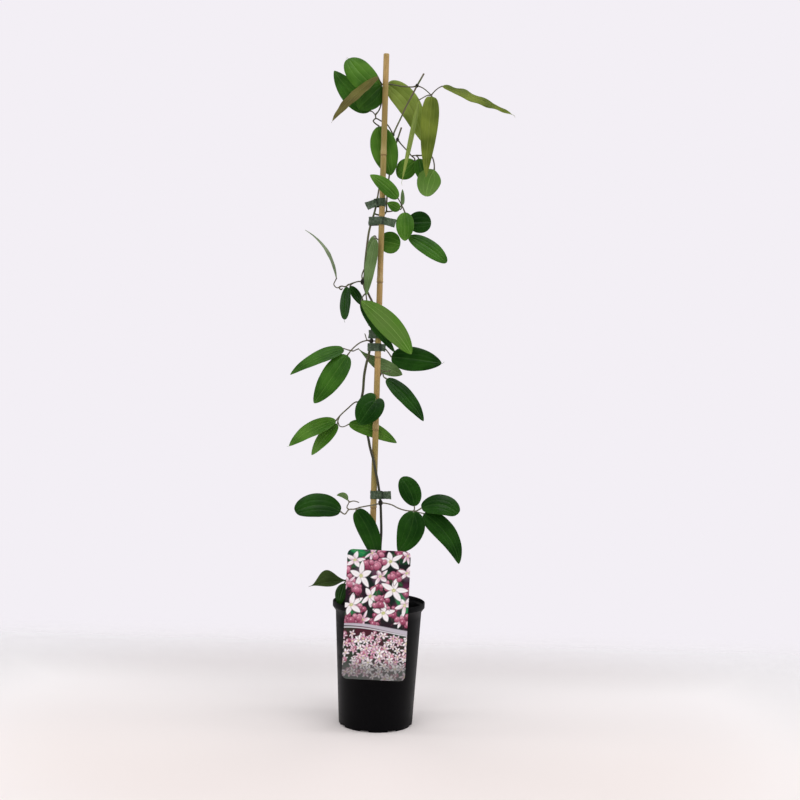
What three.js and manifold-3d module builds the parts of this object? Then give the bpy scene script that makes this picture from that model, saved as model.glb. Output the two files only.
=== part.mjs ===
// A young evergreen clematis in a round nursery pot.
//
// Its stem is tied to a bamboo cane with green tape, and a plastic picture label hooks over the rim.
// Millimetres, +Z up. The origin is the middle of the pot's underside, and the label faces -Y.

import * as THREE from "three";
import { mergeVertices } from "three/addons/utils/BufferGeometryUtils.js";
import Module from "manifold-3d";

const wasm = await Module();
wasm.setup();

// ---- Driving dimensions ----------------------------------------------------------------------

const GAP = 0.35; // clearance kept between two pieces that touch

const POT_HEIGHT = 164; // floor of the room to the top of the rim
const POT_BASE_RADIUS = 49.5;
const POT_NECK_RADIUS = 58; // outside of the wall just under the rim collar
const POT_RIM_RADIUS = 62; // outside of the rim collar
const POT_COLLAR_HEIGHT = 8;
const POT_WALL = 1.4;
const POT_FLOOR = 2;
const POT_SIDES = 44;
const DRAIN_COUNT = 8;
const DRAIN_TURN = -107; // degrees, where the first drain slot is
const DRAIN_WIDTH = 13; // each drain slot cuts the corner of floor and wall
const DRAIN_HEIGHT = 2.2;
const DRAIN_REACH = 9; // how far a slot reaches in from the wall

const SOIL_DEPTH = 22; // from the rim down to the soil
const SOIL_SWELL = 1.5; // height of the soil's unevenness

const CANE_X = -11; // the cane stands a little left of the middle
const CANE_TOP = 902;
const CANE_RADIUS_LOW = 4.25;
const CANE_RADIUS_HIGH = 3.9;
const CANE_RING_HEIGHTS = [72, 155, 222, 290, 395, 493, 594, 766]; // the joints of the bamboo
const CANE_RING_SWELL = 0.45;
const CANE_SIDES = 12;

const LABEL_WIDTH = 82;
const LABEL_HEIGHT = 168;
const LABEL_THICKNESS = 0.8;
const LABEL_CORNER = 7;
const LABEL_MIDDLE = [-2, 156.5]; // where its middle hangs, across and up
const LABEL_TILT = 1.1; // degrees, its foot swung to the left
const HOOK_WIDTH = 20;
const HOOK_DROP = 18; // how far the hook reaches down inside the rim

const TAPE_THICKNESS = 0.6;
const TAPE_HEIGHT = 11;

const STEM_RADIUS_LOW = 1.75;
const STEM_RADIUS_MIDDLE = 1.45;
const STEM_RADIUS_HIGH = 1.15;
const STALK_RADIUS = 0.8; // leaf stalks and the short stalks of the leaflets
const ROOT_DEPTH = 46; // the stem's length in the soil

const BLADE_THICKNESS = 0.8;
const BLADE_STATIONS = 7; // steps along a leaflet
const BLADE_STRIPS = 4; // steps across a leaflet
const LOBE_END = 0.36; // where along a leaflet its base lobes end
const BLADE_END_WIDTH = 0.9; // width where the stalk joins, and about twice the tip's width

// ---- Small helpers ---------------------------------------------------------------------------

const radians = THREE.MathUtils.degToRad;

/** Turns a closed geometry into a solid that can be joined and cut. */
function toSolid(geometry) {
  const bare = geometry.clone();
  bare.deleteAttribute("normal");
  bare.deleteAttribute("uv");
  const merged = mergeVertices(bare, 1e-4);
  const vertProperties = new Float32Array(merged.attributes.position.array);
  const triVerts = new Uint32Array(merged.index.array);
  return new wasm.Manifold(new wasm.Mesh({ numProp: 3, vertProperties, triVerts }));
}

/** Turns a solid back into a geometry. */
function toGeometry(solid) {
  const mesh = solid.getMesh();
  const geometry = new THREE.BufferGeometry();
  geometry.setAttribute("position", new THREE.BufferAttribute(mesh.vertProperties, 3));
  geometry.setIndex(new THREE.BufferAttribute(mesh.triVerts, 1));
  return geometry;
}

/** Joins several closed geometries into one. */
function join(geometries) {
  return toGeometry(geometries.map(toSolid).reduce((whole, piece) => whole.add(piece)));
}

/** A profile of [radius, height] pairs turned about the Z axis. */
function turned(profile, sides) {
  const points = profile.map(([radius, height]) => new THREE.Vector2(radius, height));
  return new THREE.LatheGeometry(points, sides).rotateX(Math.PI / 2);
}

/** A round tube through the given points: a ring of corners at each of them, and more between. */
function tube(points, radius, sides, step) {
  const places = points.map((point) => new THREE.Vector3(...point));
  const route = new THREE.CatmullRomCurve3(places, false, "centripetal");
  const middles = [places[0]];
  for (let i = 1; i < places.length; i += 1) {
    const cuts = Math.ceil(places[i].distanceTo(places[i - 1]) / step);
    for (let cut = 1; cut <= cuts; cut += 1) {
      middles.push(route.getPoint((i - 1 + cut / cuts) / (places.length - 1)));
    }
  }
  const last = middles.length - 1;
  const corners = [...middles[0].toArray(), ...middles[last].toArray()];
  const faces = [];
  const across = new THREE.Vector3(0.61, 0.52, 0.6);
  middles.forEach((middle, i) => {
    const ahead = middles[Math.min(i + 1, last)].clone().sub(middles[Math.max(i - 1, 0)]).normalize();
    across.addScaledVector(ahead, -across.dot(ahead)).normalize();
    const over = new THREE.Vector3().crossVectors(ahead, across);
    const ring = 2 + i * sides;
    for (let k = 0; k < sides; k += 1) {
      const angle = (2 * Math.PI * k) / sides;
      const corner = middle.clone().addScaledVector(across, radius * Math.cos(angle));
      corners.push(...corner.addScaledVector(over, radius * Math.sin(angle)).toArray());
      const here = ring + k;
      const next = ring + ((k + 1) % sides);
      if (i === 0) {
        faces.push(0, next, here);
      } else {
        faces.push(here - sides, next - sides, next, here - sides, next, here);
      }
      if (i === last) {
        faces.push(1, here, next);
      }
    }
  });
  const geometry = new THREE.BufferGeometry();
  geometry.setAttribute("position", new THREE.Float32BufferAttribute(corners, 3));
  geometry.setIndex(faces);
  return geometry;
}

const group = new THREE.Group();

/** Adds one named piece with its own material. */
function addPiece(name, geometry, color, roughness, parent = group) {
  const material = new THREE.MeshStandardMaterial({ color, roughness, metalness: 0 });
  const mesh = new THREE.Mesh(geometry, material);
  mesh.name = name;
  parent.add(mesh);
  return mesh;
}

// ---- The pot ---------------------------------------------------------------------------------

/** Outside radius of the pot's wall at a height. */
function wallRadius(height) {
  const share = height / (POT_HEIGHT - POT_COLLAR_HEIGHT);
  return THREE.MathUtils.lerp(POT_BASE_RADIUS, POT_NECK_RADIUS, share);
}

function potGeometry() {
  const neck = POT_HEIGHT - POT_COLLAR_HEIGHT;
  const collarInside = POT_RIM_RADIUS - POT_WALL;
  const shell = turned([
    [0, 0],
    [POT_BASE_RADIUS - 1.6, 0],
    [wallRadius(1.6), 1.6],
    [POT_NECK_RADIUS, neck],
    [POT_RIM_RADIUS - 0.8, neck + 0.4],
    [POT_RIM_RADIUS, neck + 1.4],
    [POT_RIM_RADIUS, POT_HEIGHT - 1],
    [POT_RIM_RADIUS - 0.6, POT_HEIGHT],
    [collarInside, POT_HEIGHT],
    [collarInside - 0.4, neck + 2.4],
    [POT_NECK_RADIUS - POT_WALL, neck + 1],
    [wallRadius(POT_FLOOR) - POT_WALL, POT_FLOOR],
    [0, POT_FLOOR],
  ], POT_SIDES);
  let pot = toSolid(shell);
  for (let i = 0; i < DRAIN_COUNT; i += 1) {
    const slot = new THREE.BoxGeometry(2 * DRAIN_REACH, DRAIN_WIDTH, 2 * DRAIN_HEIGHT);
    slot.translate(POT_BASE_RADIUS, 0, 0);
    slot.rotateZ(radians(DRAIN_TURN + (360 * i) / DRAIN_COUNT));
    pot = pot.subtract(toSolid(slot));
  }
  return toGeometry(pot);
}

// ---- The cane --------------------------------------------------------------------------------

/** Radius of the cane between its rings at a height. */
function caneRadius(height) {
  return THREE.MathUtils.lerp(CANE_RADIUS_LOW, CANE_RADIUS_HIGH, height / CANE_TOP);
}

function caneGeometry() {
  const foot = POT_FLOOR + GAP;
  const profile = [[0, foot], [caneRadius(foot), foot]];
  for (const height of CANE_RING_HEIGHTS) {
    profile.push([caneRadius(height), height - 2.5]);
    profile.push([caneRadius(height) + CANE_RING_SWELL, height]);
    profile.push([caneRadius(height), height + 2]);
  }
  profile.push([CANE_RADIUS_HIGH, CANE_TOP], [0, CANE_TOP]);
  return turned(profile, CANE_SIDES).translate(CANE_X, 0, 0);
}

// ---- The stem and its leaf stalks --------------------------------------------------------------

const SOIL_TOP = POT_HEIGHT - SOIL_DEPTH;

// The main stem climbs beside the cane, crosses in front of it, and goes behind it near the top.
const STEM_LOW = [
  [4, 2, SOIL_TOP - ROOT_DEPTH], [4.6, 1, 130], [4, 0, 165], [1.6, 0, 200], [0, 0, 233], [0.6, -1, 255],
  [-0.4, -1, 278], [-1.6, -1, 296], [-2.9, -1.2, 306.5], [-4.4, -3.6, 316], [-6.5, -6, 327],
  [-9.5, -7.2, 340], [-12.8, -7, 354], [-16.2, -5, 365], [-18.3, -1.6, 372], [-20.2, 6, 380],
  [-23.5, 13, 392], [-28, 13, 412], [-32, 8, 430], [-29.7, 5, 447], [-28.8, 3.5, 466],
  [-26.6, 2, 481], [-23.2, 1, 496], [-20.2, 0, 514],
];
const STEM_MIDDLE = [
  [-20.4, 0, 510], [-20, 0, 535], [-19.6, 1, 563], [-25.3, 3, 576], [-34, 4, 594], [-32.4, 4, 601],
  [-32, 5, 618], [-30, 6, 644], [-27.6, 6, 664], [-24.3, 5.5, 677], [-20.2, 5.5, 693], [-17.6, 6.5, 709],
];
const STEM_HIGH = [
  [-18, 6.3, 706], [-16, 10, 722], [-12.5, 14, 740], [-7.6, 15.5, 755], [-1.5, 14, 782], [1.2, 12, 796],
  [11.7, 8, 820], [18.7, 6, 836], [25.6, 4, 849], [31.6, 2, 861], [36, 1, 869], [40.4, 0, 877],
];

const SIDE_SHOOT = [
  [-21.6, 5.5, 687], [-16, 9.6, 686], [-9, 10.6, 686.4], [-5.4, 9.4, 691], [-5.2, 9, 702],
  [-4, 12, 727], [-1, 20, 756], [2.7, 20, 777], [7, 17, 791], [9.5, 16, 799], [12, 15, 807],
];

// Leaf stalks, from the stem outwards. Each list of points is one stalk or one branch of it.
const STALKS = [
  // foot, behind the label
  [[2.6, 0, 180], [-2, 5, 184], [-11, 8, 187], [-22, 6, 190], [-36.5, 5, 189.6]],
  [[-22, 6, 190], [-33, 9, 192], [-43, 8, 192], [-47, 3.4, 185.8]],
  // low left, in front of the cane
  [[-1.6, -1, 296], [-8, -6.5, 294], [-15, -10, 293], [-28, -13, 290.5], [-36, -15, 288], [-43.5, -15, 287],
    [-48.5, -15.5, 281], [-54, -16, 284]],
  [[-28, -13, 290.5], [-31.4, -15.4, 289.6], [-33.6, -17.4, 287.2]],
  [[-43.5, -15, 287], [-46.2, -14, 290], [-43.6, -13, 297], [-45, -12.6, 299.6]],
  [[-43.6, -13, 297], [-37, -12, 298.5], [-30, -11, 296.6]],
  // low right
  [[-1.6, -1, 296], [4.5, -4, 296], [13.6, -8, 294.5], [22.7, -11, 290.5], [33, -14, 288], [43, -13.5, 287.4],
    [47.5, -12.5, 288], [53.2, -12, 291.4]],
  [[43, -13.5, 287.4], [44.3, -12.6, 290], [44, -12, 293.4]],
  [[43, -13.5, 287.4], [50, -13, 285.8], [56.2, -13, 284.6]],
  // middle left
  [[-32, 8, 430], [-39, 4, 431], [-50, 0, 421.5], [-60, -2, 411.5], [-64.4, -2.6, 405.6]],
  [[-60, -2, 411.5], [-62.4, -1.6, 404], [-62.8, -1.2, 401]],
  [[-62.4, -1.6, 404], [-59.6, -1, 398], [-54.6, 0.6, 397.2], [-47.8, 2.6, 400.6]],
  // middle front, round the left of the cane to its front
  [[-32, 8, 430], [-27, 2, 432], [-20.4, -5.4, 433], [-14.5, -7.6, 433], [-12, -9.2, 434.2]],
  // middle right, behind the cane
  [[-32, 8, 430], [-24, 9, 436], [-15, 8, 442], [-10.6, 7.4, 455], [-7, 7, 468], [-4, 5, 471],
    [-2, 3, 466], [1.4, 2, 463.8]],
  [[-7, 7, 468], [-5.6, 5.6, 474.6], [1.4, 3, 473], [5, 1.6, 475.4], [6, 0, 472.6]],
  // bunch left
  [[-20.2, 0, 514], [-25.2, -1, 514.6], [-33.7, -3, 512], [-41.1, -5, 506.5], [-47.1, -7, 500],
    [-51.4, -8.6, 493.8]],
  [[-47.1, -7, 500], [-51.8, -6, 501], [-57, -4, 502.6]],
  [[-47.1, -7, 500], [-44, -4, 499.6], [-41, 1, 501.4], [-37.6, 3.6, 503]],
  // bunch right, behind the cane
  [[-20.2, 0, 514], [-14, 8, 514], [-5, 13, 508], [2, 20, 501], [6.8, 24.6, 494.8]],
  // a cut stub at the bunch
  [[-20.2, 0, 513.4], [-25.6, 0.6, 514.8], [-29.4, 0, 524]],
  // front: a pale stalk that hangs from the knot down to the bunch
  [[-34, 4, 594], [-32.4, 0, 586], [-29.6, -3, 578], [-27.4, -5, 564], [-25.6, -4.6, 548], [-24, -4, 534]],
  [[-29.6, -3, 578], [-33, -6, 574], [-35, -8.6, 567]],
  [[-29.6, -3, 578], [-34.6, -3.4, 571], [-35.6, -4, 564]],
  // knot left, with a small loop
  [[-34, 4, 594], [-40, 2, 594], [-46, 0, 592], [-52, -2, 589.4], [-57.4, -3.6, 586], [-62.4, -5, 586.4],
    [-65.4, -7.4, 584.4], [-63, -8, 581.4], [-61, -5.4, 583]],
  [[-62.4, -5, 586.4], [-68.4, -4.4, 584], [-72.8, -4.6, 588.4], [-70.6, -5, 594], [-69.4, -5, 597]],
  [[-52, -2, 589.4], [-54.2, -3.6, 588.4], [-56, -4.8, 585.8]],
  [[-46, 0, 592], [-49, 0, 590], [-51, -0.6, 587.6]],
  // knot right, rising in front of the stem
  [[-34, 4, 594], [-35.6, 2, 602], [-32.4, 0, 611.6], [-26.4, -2.4, 625.5], [-22.6, -4.4, 640],
    [-19.2, -7.8, 651]],
  [[-19.8, -7, 649], [-17.8, -4.8, 651.5], [-17.6, 0, 653], [-16.6, 5, 652.8], [-15.6, 7.2, 652.3]],
  [[-17.8, -4.8, 651.5], [-18.4, -3, 655], [-20.2, -2, 655.8]],
  // shoot, lower leaf
  [[-5.4, 9.4, 691], [0.8, 5, 690.5], [7.6, 2, 692.5], [15.4, 0, 697], [18.6, -0.4, 692], [21, 1.4, 685],
    [22.2, 4.4, 676.6], [23.6, 5, 667], [25.6, 4.4, 657.4]],
  [[18.6, -0.4, 692], [20, -2.4, 688.6]],
  [[22.2, 4.4, 676.6], [23.6, 4.4, 675.6]],
  // shoot, upper leaf
  [[15.4, 0, 697], [14, -1.5, 701], [11.6, -4.4, 704.6], [10.5, -6, 706]],
  [[15.4, 0, 697], [15.8, 1.2, 699.4]],
  [[15.4, 0, 697], [15.2, -2.6, 693.5], [13.8, -4.4, 691.9]],
  // shoulder left, behind the cane
  [[1.2, 12, 796], [-7.7, 9.4, 809.4], [-16, 8, 813.4], [-23, 6.6, 816], [-26.4, 6, 812.5], [-23, 7, 809],
    [-18.6, 8.8, 806.6]],
  [[-23, 6.6, 816], [-24, 6, 820.6], [-28, 6, 825], [-30.4, 6.8, 826]],
  [[-24, 6, 820.6], [-19, 8, 828], [-15.4, 10, 842], [-15, 10.6, 854.6]],
  // shoulder right
  [[7, 17, 791], [13, 16, 783.6], [20, 14, 776], [27, 12.6, 768], [31, 12, 764.6], [31.4, 12, 762]],
  [[27, 12.6, 768], [33, 11, 768.4], [36.6, 11.6, 764.8]],
  [[33, 11, 768.4], [43, 7, 768], [53.4, 2, 766.4], [57.4, 0.4, 757], [58, 0.2, 747.8]],
  // crown left, behind the cane
  [[31.6, 2, 861], [26, 3, 859.4], [11, 5.4, 860.5], [-6.6, 8, 863.6], [-16, 6.4, 862.4],
    [-17.2, 5.4, 860.4]],
  [[-16, 6.4, 862.4], [-18.8, 2, 866], [-22, -3.8, 869.6]],
  [[-6.6, 8, 863.6], [-9, 10.4, 864.6], [-9.4, 12.2, 864.6]],
  // crown right
  [[31.6, 2, 861], [40, 1, 857.4], [51, 0, 848], [51.8, -1.4, 846.4]],
  [[51, 0, 848], [55.6, 1.4, 854], [61, 2.8, 859], [65.6, 3.9, 861.6]],
  [[51, 0, 848], [46, -1, 847.4], [40, -3.4, 843.4], [34.8, -5, 839.8]],
];

// The swollen joints where leaves leave the stem: place and radius.
const KNOTS = [
  [[-1.6, -1, 296], 2.8], [[-32, 8, 430], 2.6], [[-20.2, 0, 514], 2.5], [[-34, 4, 594], 3.1],
  [[7, 17, 791], 1.9], [[1.2, 12, 796], 1.7], [[31.6, 2, 861], 1.9],
];

function vineGeometry() {
  const pieces = [
    tube(STEM_LOW, STEM_RADIUS_LOW, 8, 16),
    tube(STEM_MIDDLE, STEM_RADIUS_MIDDLE, 7, 16),
    tube(STEM_HIGH, STEM_RADIUS_HIGH, 6, 16),
    tube(SIDE_SHOOT, STEM_RADIUS_HIGH, 6, 14),
  ];
  for (const stalk of STALKS) {
    pieces.push(tube(stalk, STALK_RADIUS, 5, 14));
  }
  for (const [place, radius] of KNOTS) {
    pieces.push(new THREE.SphereGeometry(radius, 8, 6).translate(...place));
  }
  return join(pieces);
}

// ---- The soil --------------------------------------------------------------------------------

function soilGeometry() {
  const foot = POT_FLOOR + GAP;
  const fit = POT_WALL + GAP + 0.1;
  const plug = turned([
    [0, foot],
    [wallRadius(foot) - fit, foot],
    [wallRadius(SOIL_TOP) - fit, SOIL_TOP - SOIL_SWELL],
    [wallRadius(SOIL_TOP) - fit - 8, SOIL_TOP],
    [wallRadius(SOIL_TOP) - fit - 22, SOIL_TOP],
    [wallRadius(SOIL_TOP) - fit - 38, SOIL_TOP],
    [0, SOIL_TOP],
  ], POT_SIDES / 2);
  const place = plug.attributes.position;
  for (let i = 0; i < place.count; i += 1) {
    const swell = SOIL_SWELL * Math.sin(place.getX(i) / 9 + 1) * Math.cos(place.getY(i) / 11);
    const onTop = place.getZ(i) > SOIL_TOP - SOIL_SWELL / 2;
    place.setZ(i, place.getZ(i) + (onTop ? swell : 0));
  }
  const bore = CANE_RADIUS_LOW + CANE_RING_SWELL + GAP;
  const caneHole = new THREE.CylinderGeometry(bore, bore, 2 * SOIL_TOP, CANE_SIDES);
  caneHole.rotateX(Math.PI / 2).translate(CANE_X, 0, SOIL_TOP);
  const stemRoute = [[4, 2, SOIL_TOP - ROOT_DEPTH - GAP], ...STEM_LOW.slice(1, 3)];
  const stemHole = tube(stemRoute, STEM_RADIUS_LOW + GAP + 0.2, 8, 16);
  return toGeometry(toSolid(plug).subtract(toSolid(caneHole)).subtract(toSolid(stemHole)));
}

// ---- The tape ties ---------------------------------------------------------------------------

/** Outline that wraps two circles [x, y, radius] at a given distance from both. */
function wrap(first, second, offset) {
  const [x1, y1, r1] = first;
  const [x2, y2, r2] = second;
  const lean = Math.acos((r1 - r2) / Math.hypot(x2 - x1, y2 - y1));
  const toward = Math.atan2(y2 - y1, x2 - x1);
  const outline = new THREE.Path();
  outline.absarc(x1, y1, r1 + offset, toward + lean, toward - lean + 2 * Math.PI);
  outline.absarc(x2, y2, r2 + offset, toward - lean, toward + lean);
  return new THREE.Shape(outline.getPoints(8));
}

/** A tape band round cane and stem, with its pinched ends standing off to one side. */
function tieGeometry({ low, height, stem, tail }) {
  const cane = [CANE_X, 0, caneRadius(low)];
  const band = wrap(cane, stem, GAP + TAPE_THICKNESS);
  band.holes.push(wrap(cane, stem, GAP));
  const loop = new THREE.ExtrudeGeometry(band, { depth: height, bevelEnabled: false });
  const flag = new THREE.BoxGeometry(tail.length, 2 * TAPE_THICKNESS, tail.height);
  flag.translate(tail.length / 2, 0, 0);
  flag.rotateY(radians(tail.droop));
  flag.rotateZ(radians(tail.heading));
  flag.translate(tail.root[0], tail.root[1], height / 2);
  return join([loop, flag]).translate(0, 0, low);
}

const TIES = {
  tape_tie_low: {
    low: 301.2, height: TAPE_HEIGHT, stem: [-3.2, -1.9, STEM_RADIUS_LOW + 1],
    tail: { root: [0, -3.7], length: 12.6, height: TAPE_HEIGHT - 0.6, droop: -3, heading: -8 },
  },
  tape_tie_bunch_low: {
    low: 500.4, height: TAPE_HEIGHT - 0.5, stem: [-21, 0.4, STEM_RADIUS_LOW + 1.4],
    tail: { root: [-7.8, -3.8], length: 7, height: TAPE_HEIGHT - 1.5, droop: 6, heading: -10 },
  },
  tape_tie_bunch_high: {
    low: 517.6, height: TAPE_HEIGHT, stem: [-20.2, 0, STEM_RADIUS_MIDDLE + 1.6],
    tail: { root: [-7.8, -3.8], length: 6, height: TAPE_HEIGHT - 1.5, droop: -6, heading: -10 },
  },
  tape_tie_high: {
    low: 671, height: TAPE_HEIGHT, stem: [-24.8, 5.7, STEM_RADIUS_MIDDLE + 1.5],
    tail: { root: [-9.6, -4.8], length: 18, height: TAPE_HEIGHT - 0.6, droop: 14, heading: -6 },
  },
  tape_tie_top: {
    low: 695, height: TAPE_HEIGHT, stem: [-19, 6, STEM_RADIUS_MIDDLE + 1.2],
    tail: { root: [-17, -1.6], length: 17, height: TAPE_HEIGHT - 1, droop: 14, heading: 197 },
  },
};

// ---- The label -------------------------------------------------------------------------------

function labelGeometry() {
  const card = new THREE.Shape();
  const [x, z] = [LABEL_WIDTH / 2, LABEL_HEIGHT / 2];
  card.moveTo(-x + LABEL_CORNER, -z);
  card.absarc(x - LABEL_CORNER, -z + LABEL_CORNER, LABEL_CORNER, -Math.PI / 2, 0);
  card.absarc(x - LABEL_CORNER, z - LABEL_CORNER, LABEL_CORNER, 0, Math.PI / 2);
  card.absarc(-x + LABEL_CORNER, z - LABEL_CORNER, LABEL_CORNER, Math.PI / 2, Math.PI);
  card.absarc(-x + LABEL_CORNER, -z + LABEL_CORNER, LABEL_CORNER, Math.PI, (3 * Math.PI) / 2);
  const flat = { depth: LABEL_THICKNESS, bevelEnabled: false, curveSegments: 5 };
  const panel = new THREE.ExtrudeGeometry(card, flat);
  panel.rotateX(Math.PI / 2);

  // The hook is a strip seen from its side: out of the card's back, over the rim and down inside.
  const over = POT_HEIGHT + GAP - LABEL_MIDDLE[1];
  const inside = POT_RIM_RADIUS + GAP - (POT_NECK_RADIUS - POT_WALL) + 2.2;
  const strip = new THREE.Shape();
  strip.moveTo(-LABEL_THICKNESS / 2, over);
  strip.lineTo(inside, over);
  strip.lineTo(inside, over - HOOK_DROP);
  strip.lineTo(inside + LABEL_THICKNESS, over - HOOK_DROP);
  strip.lineTo(inside + LABEL_THICKNESS, over + LABEL_THICKNESS);
  strip.lineTo(-LABEL_THICKNESS / 2, over + LABEL_THICKNESS);
  const hook = new THREE.ExtrudeGeometry(strip, { depth: HOOK_WIDTH, bevelEnabled: false });
  hook.translate(0, 0, -HOOK_WIDTH / 2);
  hook.rotateX(Math.PI / 2).rotateZ(Math.PI / 2);
  return join([panel, hook]);
}

function addLabel() {
  const holder = new THREE.Group();
  holder.position.set(LABEL_MIDDLE[0], -POT_RIM_RADIUS - GAP, LABEL_MIDDLE[1]);
  holder.rotation.y = radians(LABEL_TILT);
  group.add(holder);
  addPiece("picture_label", labelGeometry(), 0x4a3550, 0.35, holder);
}

// ---- The leaflets ----------------------------------------------------------------------------

// Each leaflet runs from base to tip. face is the way its upper side looks. bend holds how far the
// two middle points of its midrib stand out on that side, and sweep how far they stand sideways.
// fold is the angle in degrees at which both halves rise from the midrib. cup curves the halves
// down towards their edges. widest is where along its length the blade is widest, and a small taper
// gives it a blunt tip. lobe is how far two round lobes reach back past the stalk, and a blade with
// lobes is widest where they end.
const LEAF_DEFAULTS = {
  bend: [3, 5], sweep: [0, 0], fold: 8, cup: -0.14, lobe: 0, widest: 0.4, taper: 0.8, twist: 0,
};

const LEAVES = {
  foot: [
    { base: [-36.8, 5, 189.6], tip: [-94, -17, 183], width: 36, face: [0, -0.7, 0.7], fold: 40,
      widest: 0.58, taper: 3 },
    { base: [-47.2, 2.8, 185.4], tip: [-53, -8, 157], width: 18, face: [-0.4, -0.8, 0.3] },
  ],
  low_left: [
    { base: [-54.4, -16, 284.4], tip: [-113, -36, 284], width: 33, face: [0, -0.9, 0.4], bend: [5, 7],
      sweep: [-11, -10], widest: 0.5, taper: 0.45 },
    { base: [-45.2, -12.6, 300], tip: [-60, -18, 306], width: 11, face: [0, -0.7, 0.7], fold: 30 },
    { base: [-33.8, -17.9, 286.7], tip: [-4, -24, 220], width: 27, face: [-0.2, -1, 0.1], bend: [4, 5],
      sweep: [8, 8], widest: 0.38, taper: 0.65 },
  ],
  low_right: [
    { base: [44, -11.8, 293.8], tip: [25, -4, 331], width: 28, face: [-0.1, -0.9, 0.4], bend: [2, 4],
      sweep: [-5, -4], widest: 0.5, taper: 0.55 },
    { base: [53.6, -12, 291.5], tip: [102, -22, 286], width: 30, face: [0, -0.8, 0.5], bend: [6, 8],
      sweep: [9, 11], widest: 0.52, taper: 0.42 },
    { base: [43.4, -15.2, 286.2], tip: [24, -26, 234], width: 36, face: [0, -1, 0.2], bend: [4, 5],
      sweep: [6, 7], lobe: 9, taper: 0.7, cup: -0.06 },
    { base: [56.8, -13, 284.2], tip: [105, -24, 220], width: 29, face: [0.2, -1, 0.2], bend: [4, 6],
      sweep: [10, 14], widest: 0.36, taper: 0.75 },
  ],
  middle_left: [
    { base: [-64.8, -2.8, 405.2], tip: [-125, -22, 370], width: 25, face: [-0.1, -0.75, 0.6], bend: [4, 6],
      sweep: [-7, -4] },
    { base: [-62.9, -1.2, 400.6], tip: [-96, -6, 358], width: 22, face: [-0.4, -0.8, 0.4] },
    { base: [-47.4, 2.8, 400.7], tip: [18, 10, 377], width: 20, face: [0, -1, 0.1], bend: [0, 0],
      sweep: [7, 5] },
  ],
  middle_front: [
    { base: [-12.2, -10.4, 434.6], tip: [-33, -20, 402], width: 36, face: [0, -1, 0.2], bend: [3, 4],
      lobe: 13, taper: 0.6 },
  ],
  middle_right: [
    { base: [1.8, 2, 463.5], tip: [53, -8, 408], width: 23, face: [0.2, -0.9, 0.4], bend: [4, 6],
      sweep: [3, 4], taper: 0.75 },
  ],
  bunch_left: [
    { base: [-57.4, -3.9, 502.7], tip: [-126, -24, 465], width: 24, face: [-0.2, -0.75, 0.6], bend: [5, 7],
      sweep: [-2, -2], widest: 0.34 },
    { base: [-51.8, -8.7, 493.4], tip: [-93, -28, 428], width: 32, face: [-0.1, -1, 0.2], bend: [3, 5],
      sweep: [0, 2], taper: 0.7 },
    { base: [-37.2, 4, 503.1], tip: [23, 18, 470], width: 20, face: [0.3, -0.6, 0.75], bend: [-8, -3],
      widest: 0.62, twist: 62 },
  ],
  bunch_right: [
    { base: [7.2, 25, 494.4], tip: [76, 14, 487], width: 34, face: [0, -1, 0.2], bend: [4, 7],
      taper: 0.7 },
  ],
  front: [
    { base: [-35.2, -9.2, 566.6], tip: [34, -20, 497], width: 30, face: [0.1, 1, 0], bend: [-3, -4],
      sweep: [-6, -8], widest: 0.5, taper: 0.7 },
    { base: [-35.8, -4.5, 563.5], tip: [12, -8, 499], width: 15, face: [-0.2, -1, 0], bend: [3, 2] },
  ],
  knot_left: [
    { base: [-69.6, -5.1, 597.4], tip: [-112, -22, 658], width: 11, face: [0.75, -0.4, 0.5],
      bend: [12, 14], widest: 0.33, taper: 1 },
    { base: [-56.2, -4.9, 585.3], tip: [-57, -12, 541], width: 18, face: [-0.6, -0.8, 0.1],
      sweep: [3, 4], widest: 0.52, taper: 0.45 },
    { base: [-51.3, -1.1, 586.6], tip: [-31, 14, 561], width: 13, face: [0.3, -0.9, 0.2], bend: [1, 1] },
  ],
  knot_right: [
    { base: [-15.2, 7.4, 652.1], tip: [15, 12, 646], width: 30, face: [0, -1, 0.1], bend: [1, 2],
      widest: 0.55, taper: 0.5 },
    { base: [-18.8, -9, 650.8], tip: [-28, -19, 574], width: 18, face: [-0.5, -0.8, 0.1], bend: [1, 3] },
    { base: [-21, -1.7, 655.3], tip: [-29, -1, 631], width: 8, face: [-0.3, -1, 0], bend: [0.5, 0.5] },
  ],
  shoot_low: [
    { base: [20.2, -2.9, 688.3], tip: [21, -10, 649], width: 24, face: [0, -1, 0.2], bend: [2, 4],
      widest: 0.45, taper: 0.65 },
    { base: [24.1, 4.4, 675.5], tip: [56, 8, 678], width: 30, face: [0, -1, 0.1], bend: [2, 3],
      widest: 0.52, taper: 0.5 },
    { base: [26, 4.3, 657], tip: [78, -4, 622], width: 24, face: [0.1, -1, 0.3], bend: [3, 4],
      sweep: [3, 3], widest: 0.5, taper: 0.55 },
  ],
  shoot_high: [
    { base: [10, -6.4, 706.3], tip: [-28, -15, 735], width: 20, face: [0.1, -1, 0.2], bend: [2, 4],
      sweep: [-2, -2], taper: 0.75 },
    { base: [13.2, -4.8, 692], tip: [-4, -8, 700], width: 13, face: [0, -0.9, -0.3], bend: [1, 1] },
    { base: [15.8, 1.5, 699.8], tip: [16, 6, 721], width: 13, face: [0.9, -0.4, 0], bend: [1, 1] },
  ],
  shoulder_left: [
    { base: [-15.3, 11.3, 855.5], tip: [-62, 2, 895], width: 37, face: [-0.1, -0.95, 0.3], bend: [1, 7],
      sweep: [7, 8], widest: 0.56, taper: 0.48 },
    { base: [-30.8, 7.2, 826.2], tip: [-82, 16, 882], width: 30, face: [-0.2, -1, 0.1], bend: [-3, 1],
      sweep: [4, 4] },
    { base: [-18.2, 8.9, 806.3], tip: [-0.5, 8, 740], width: 36, face: [0, -1, 0], bend: [0.5, 1],
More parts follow.
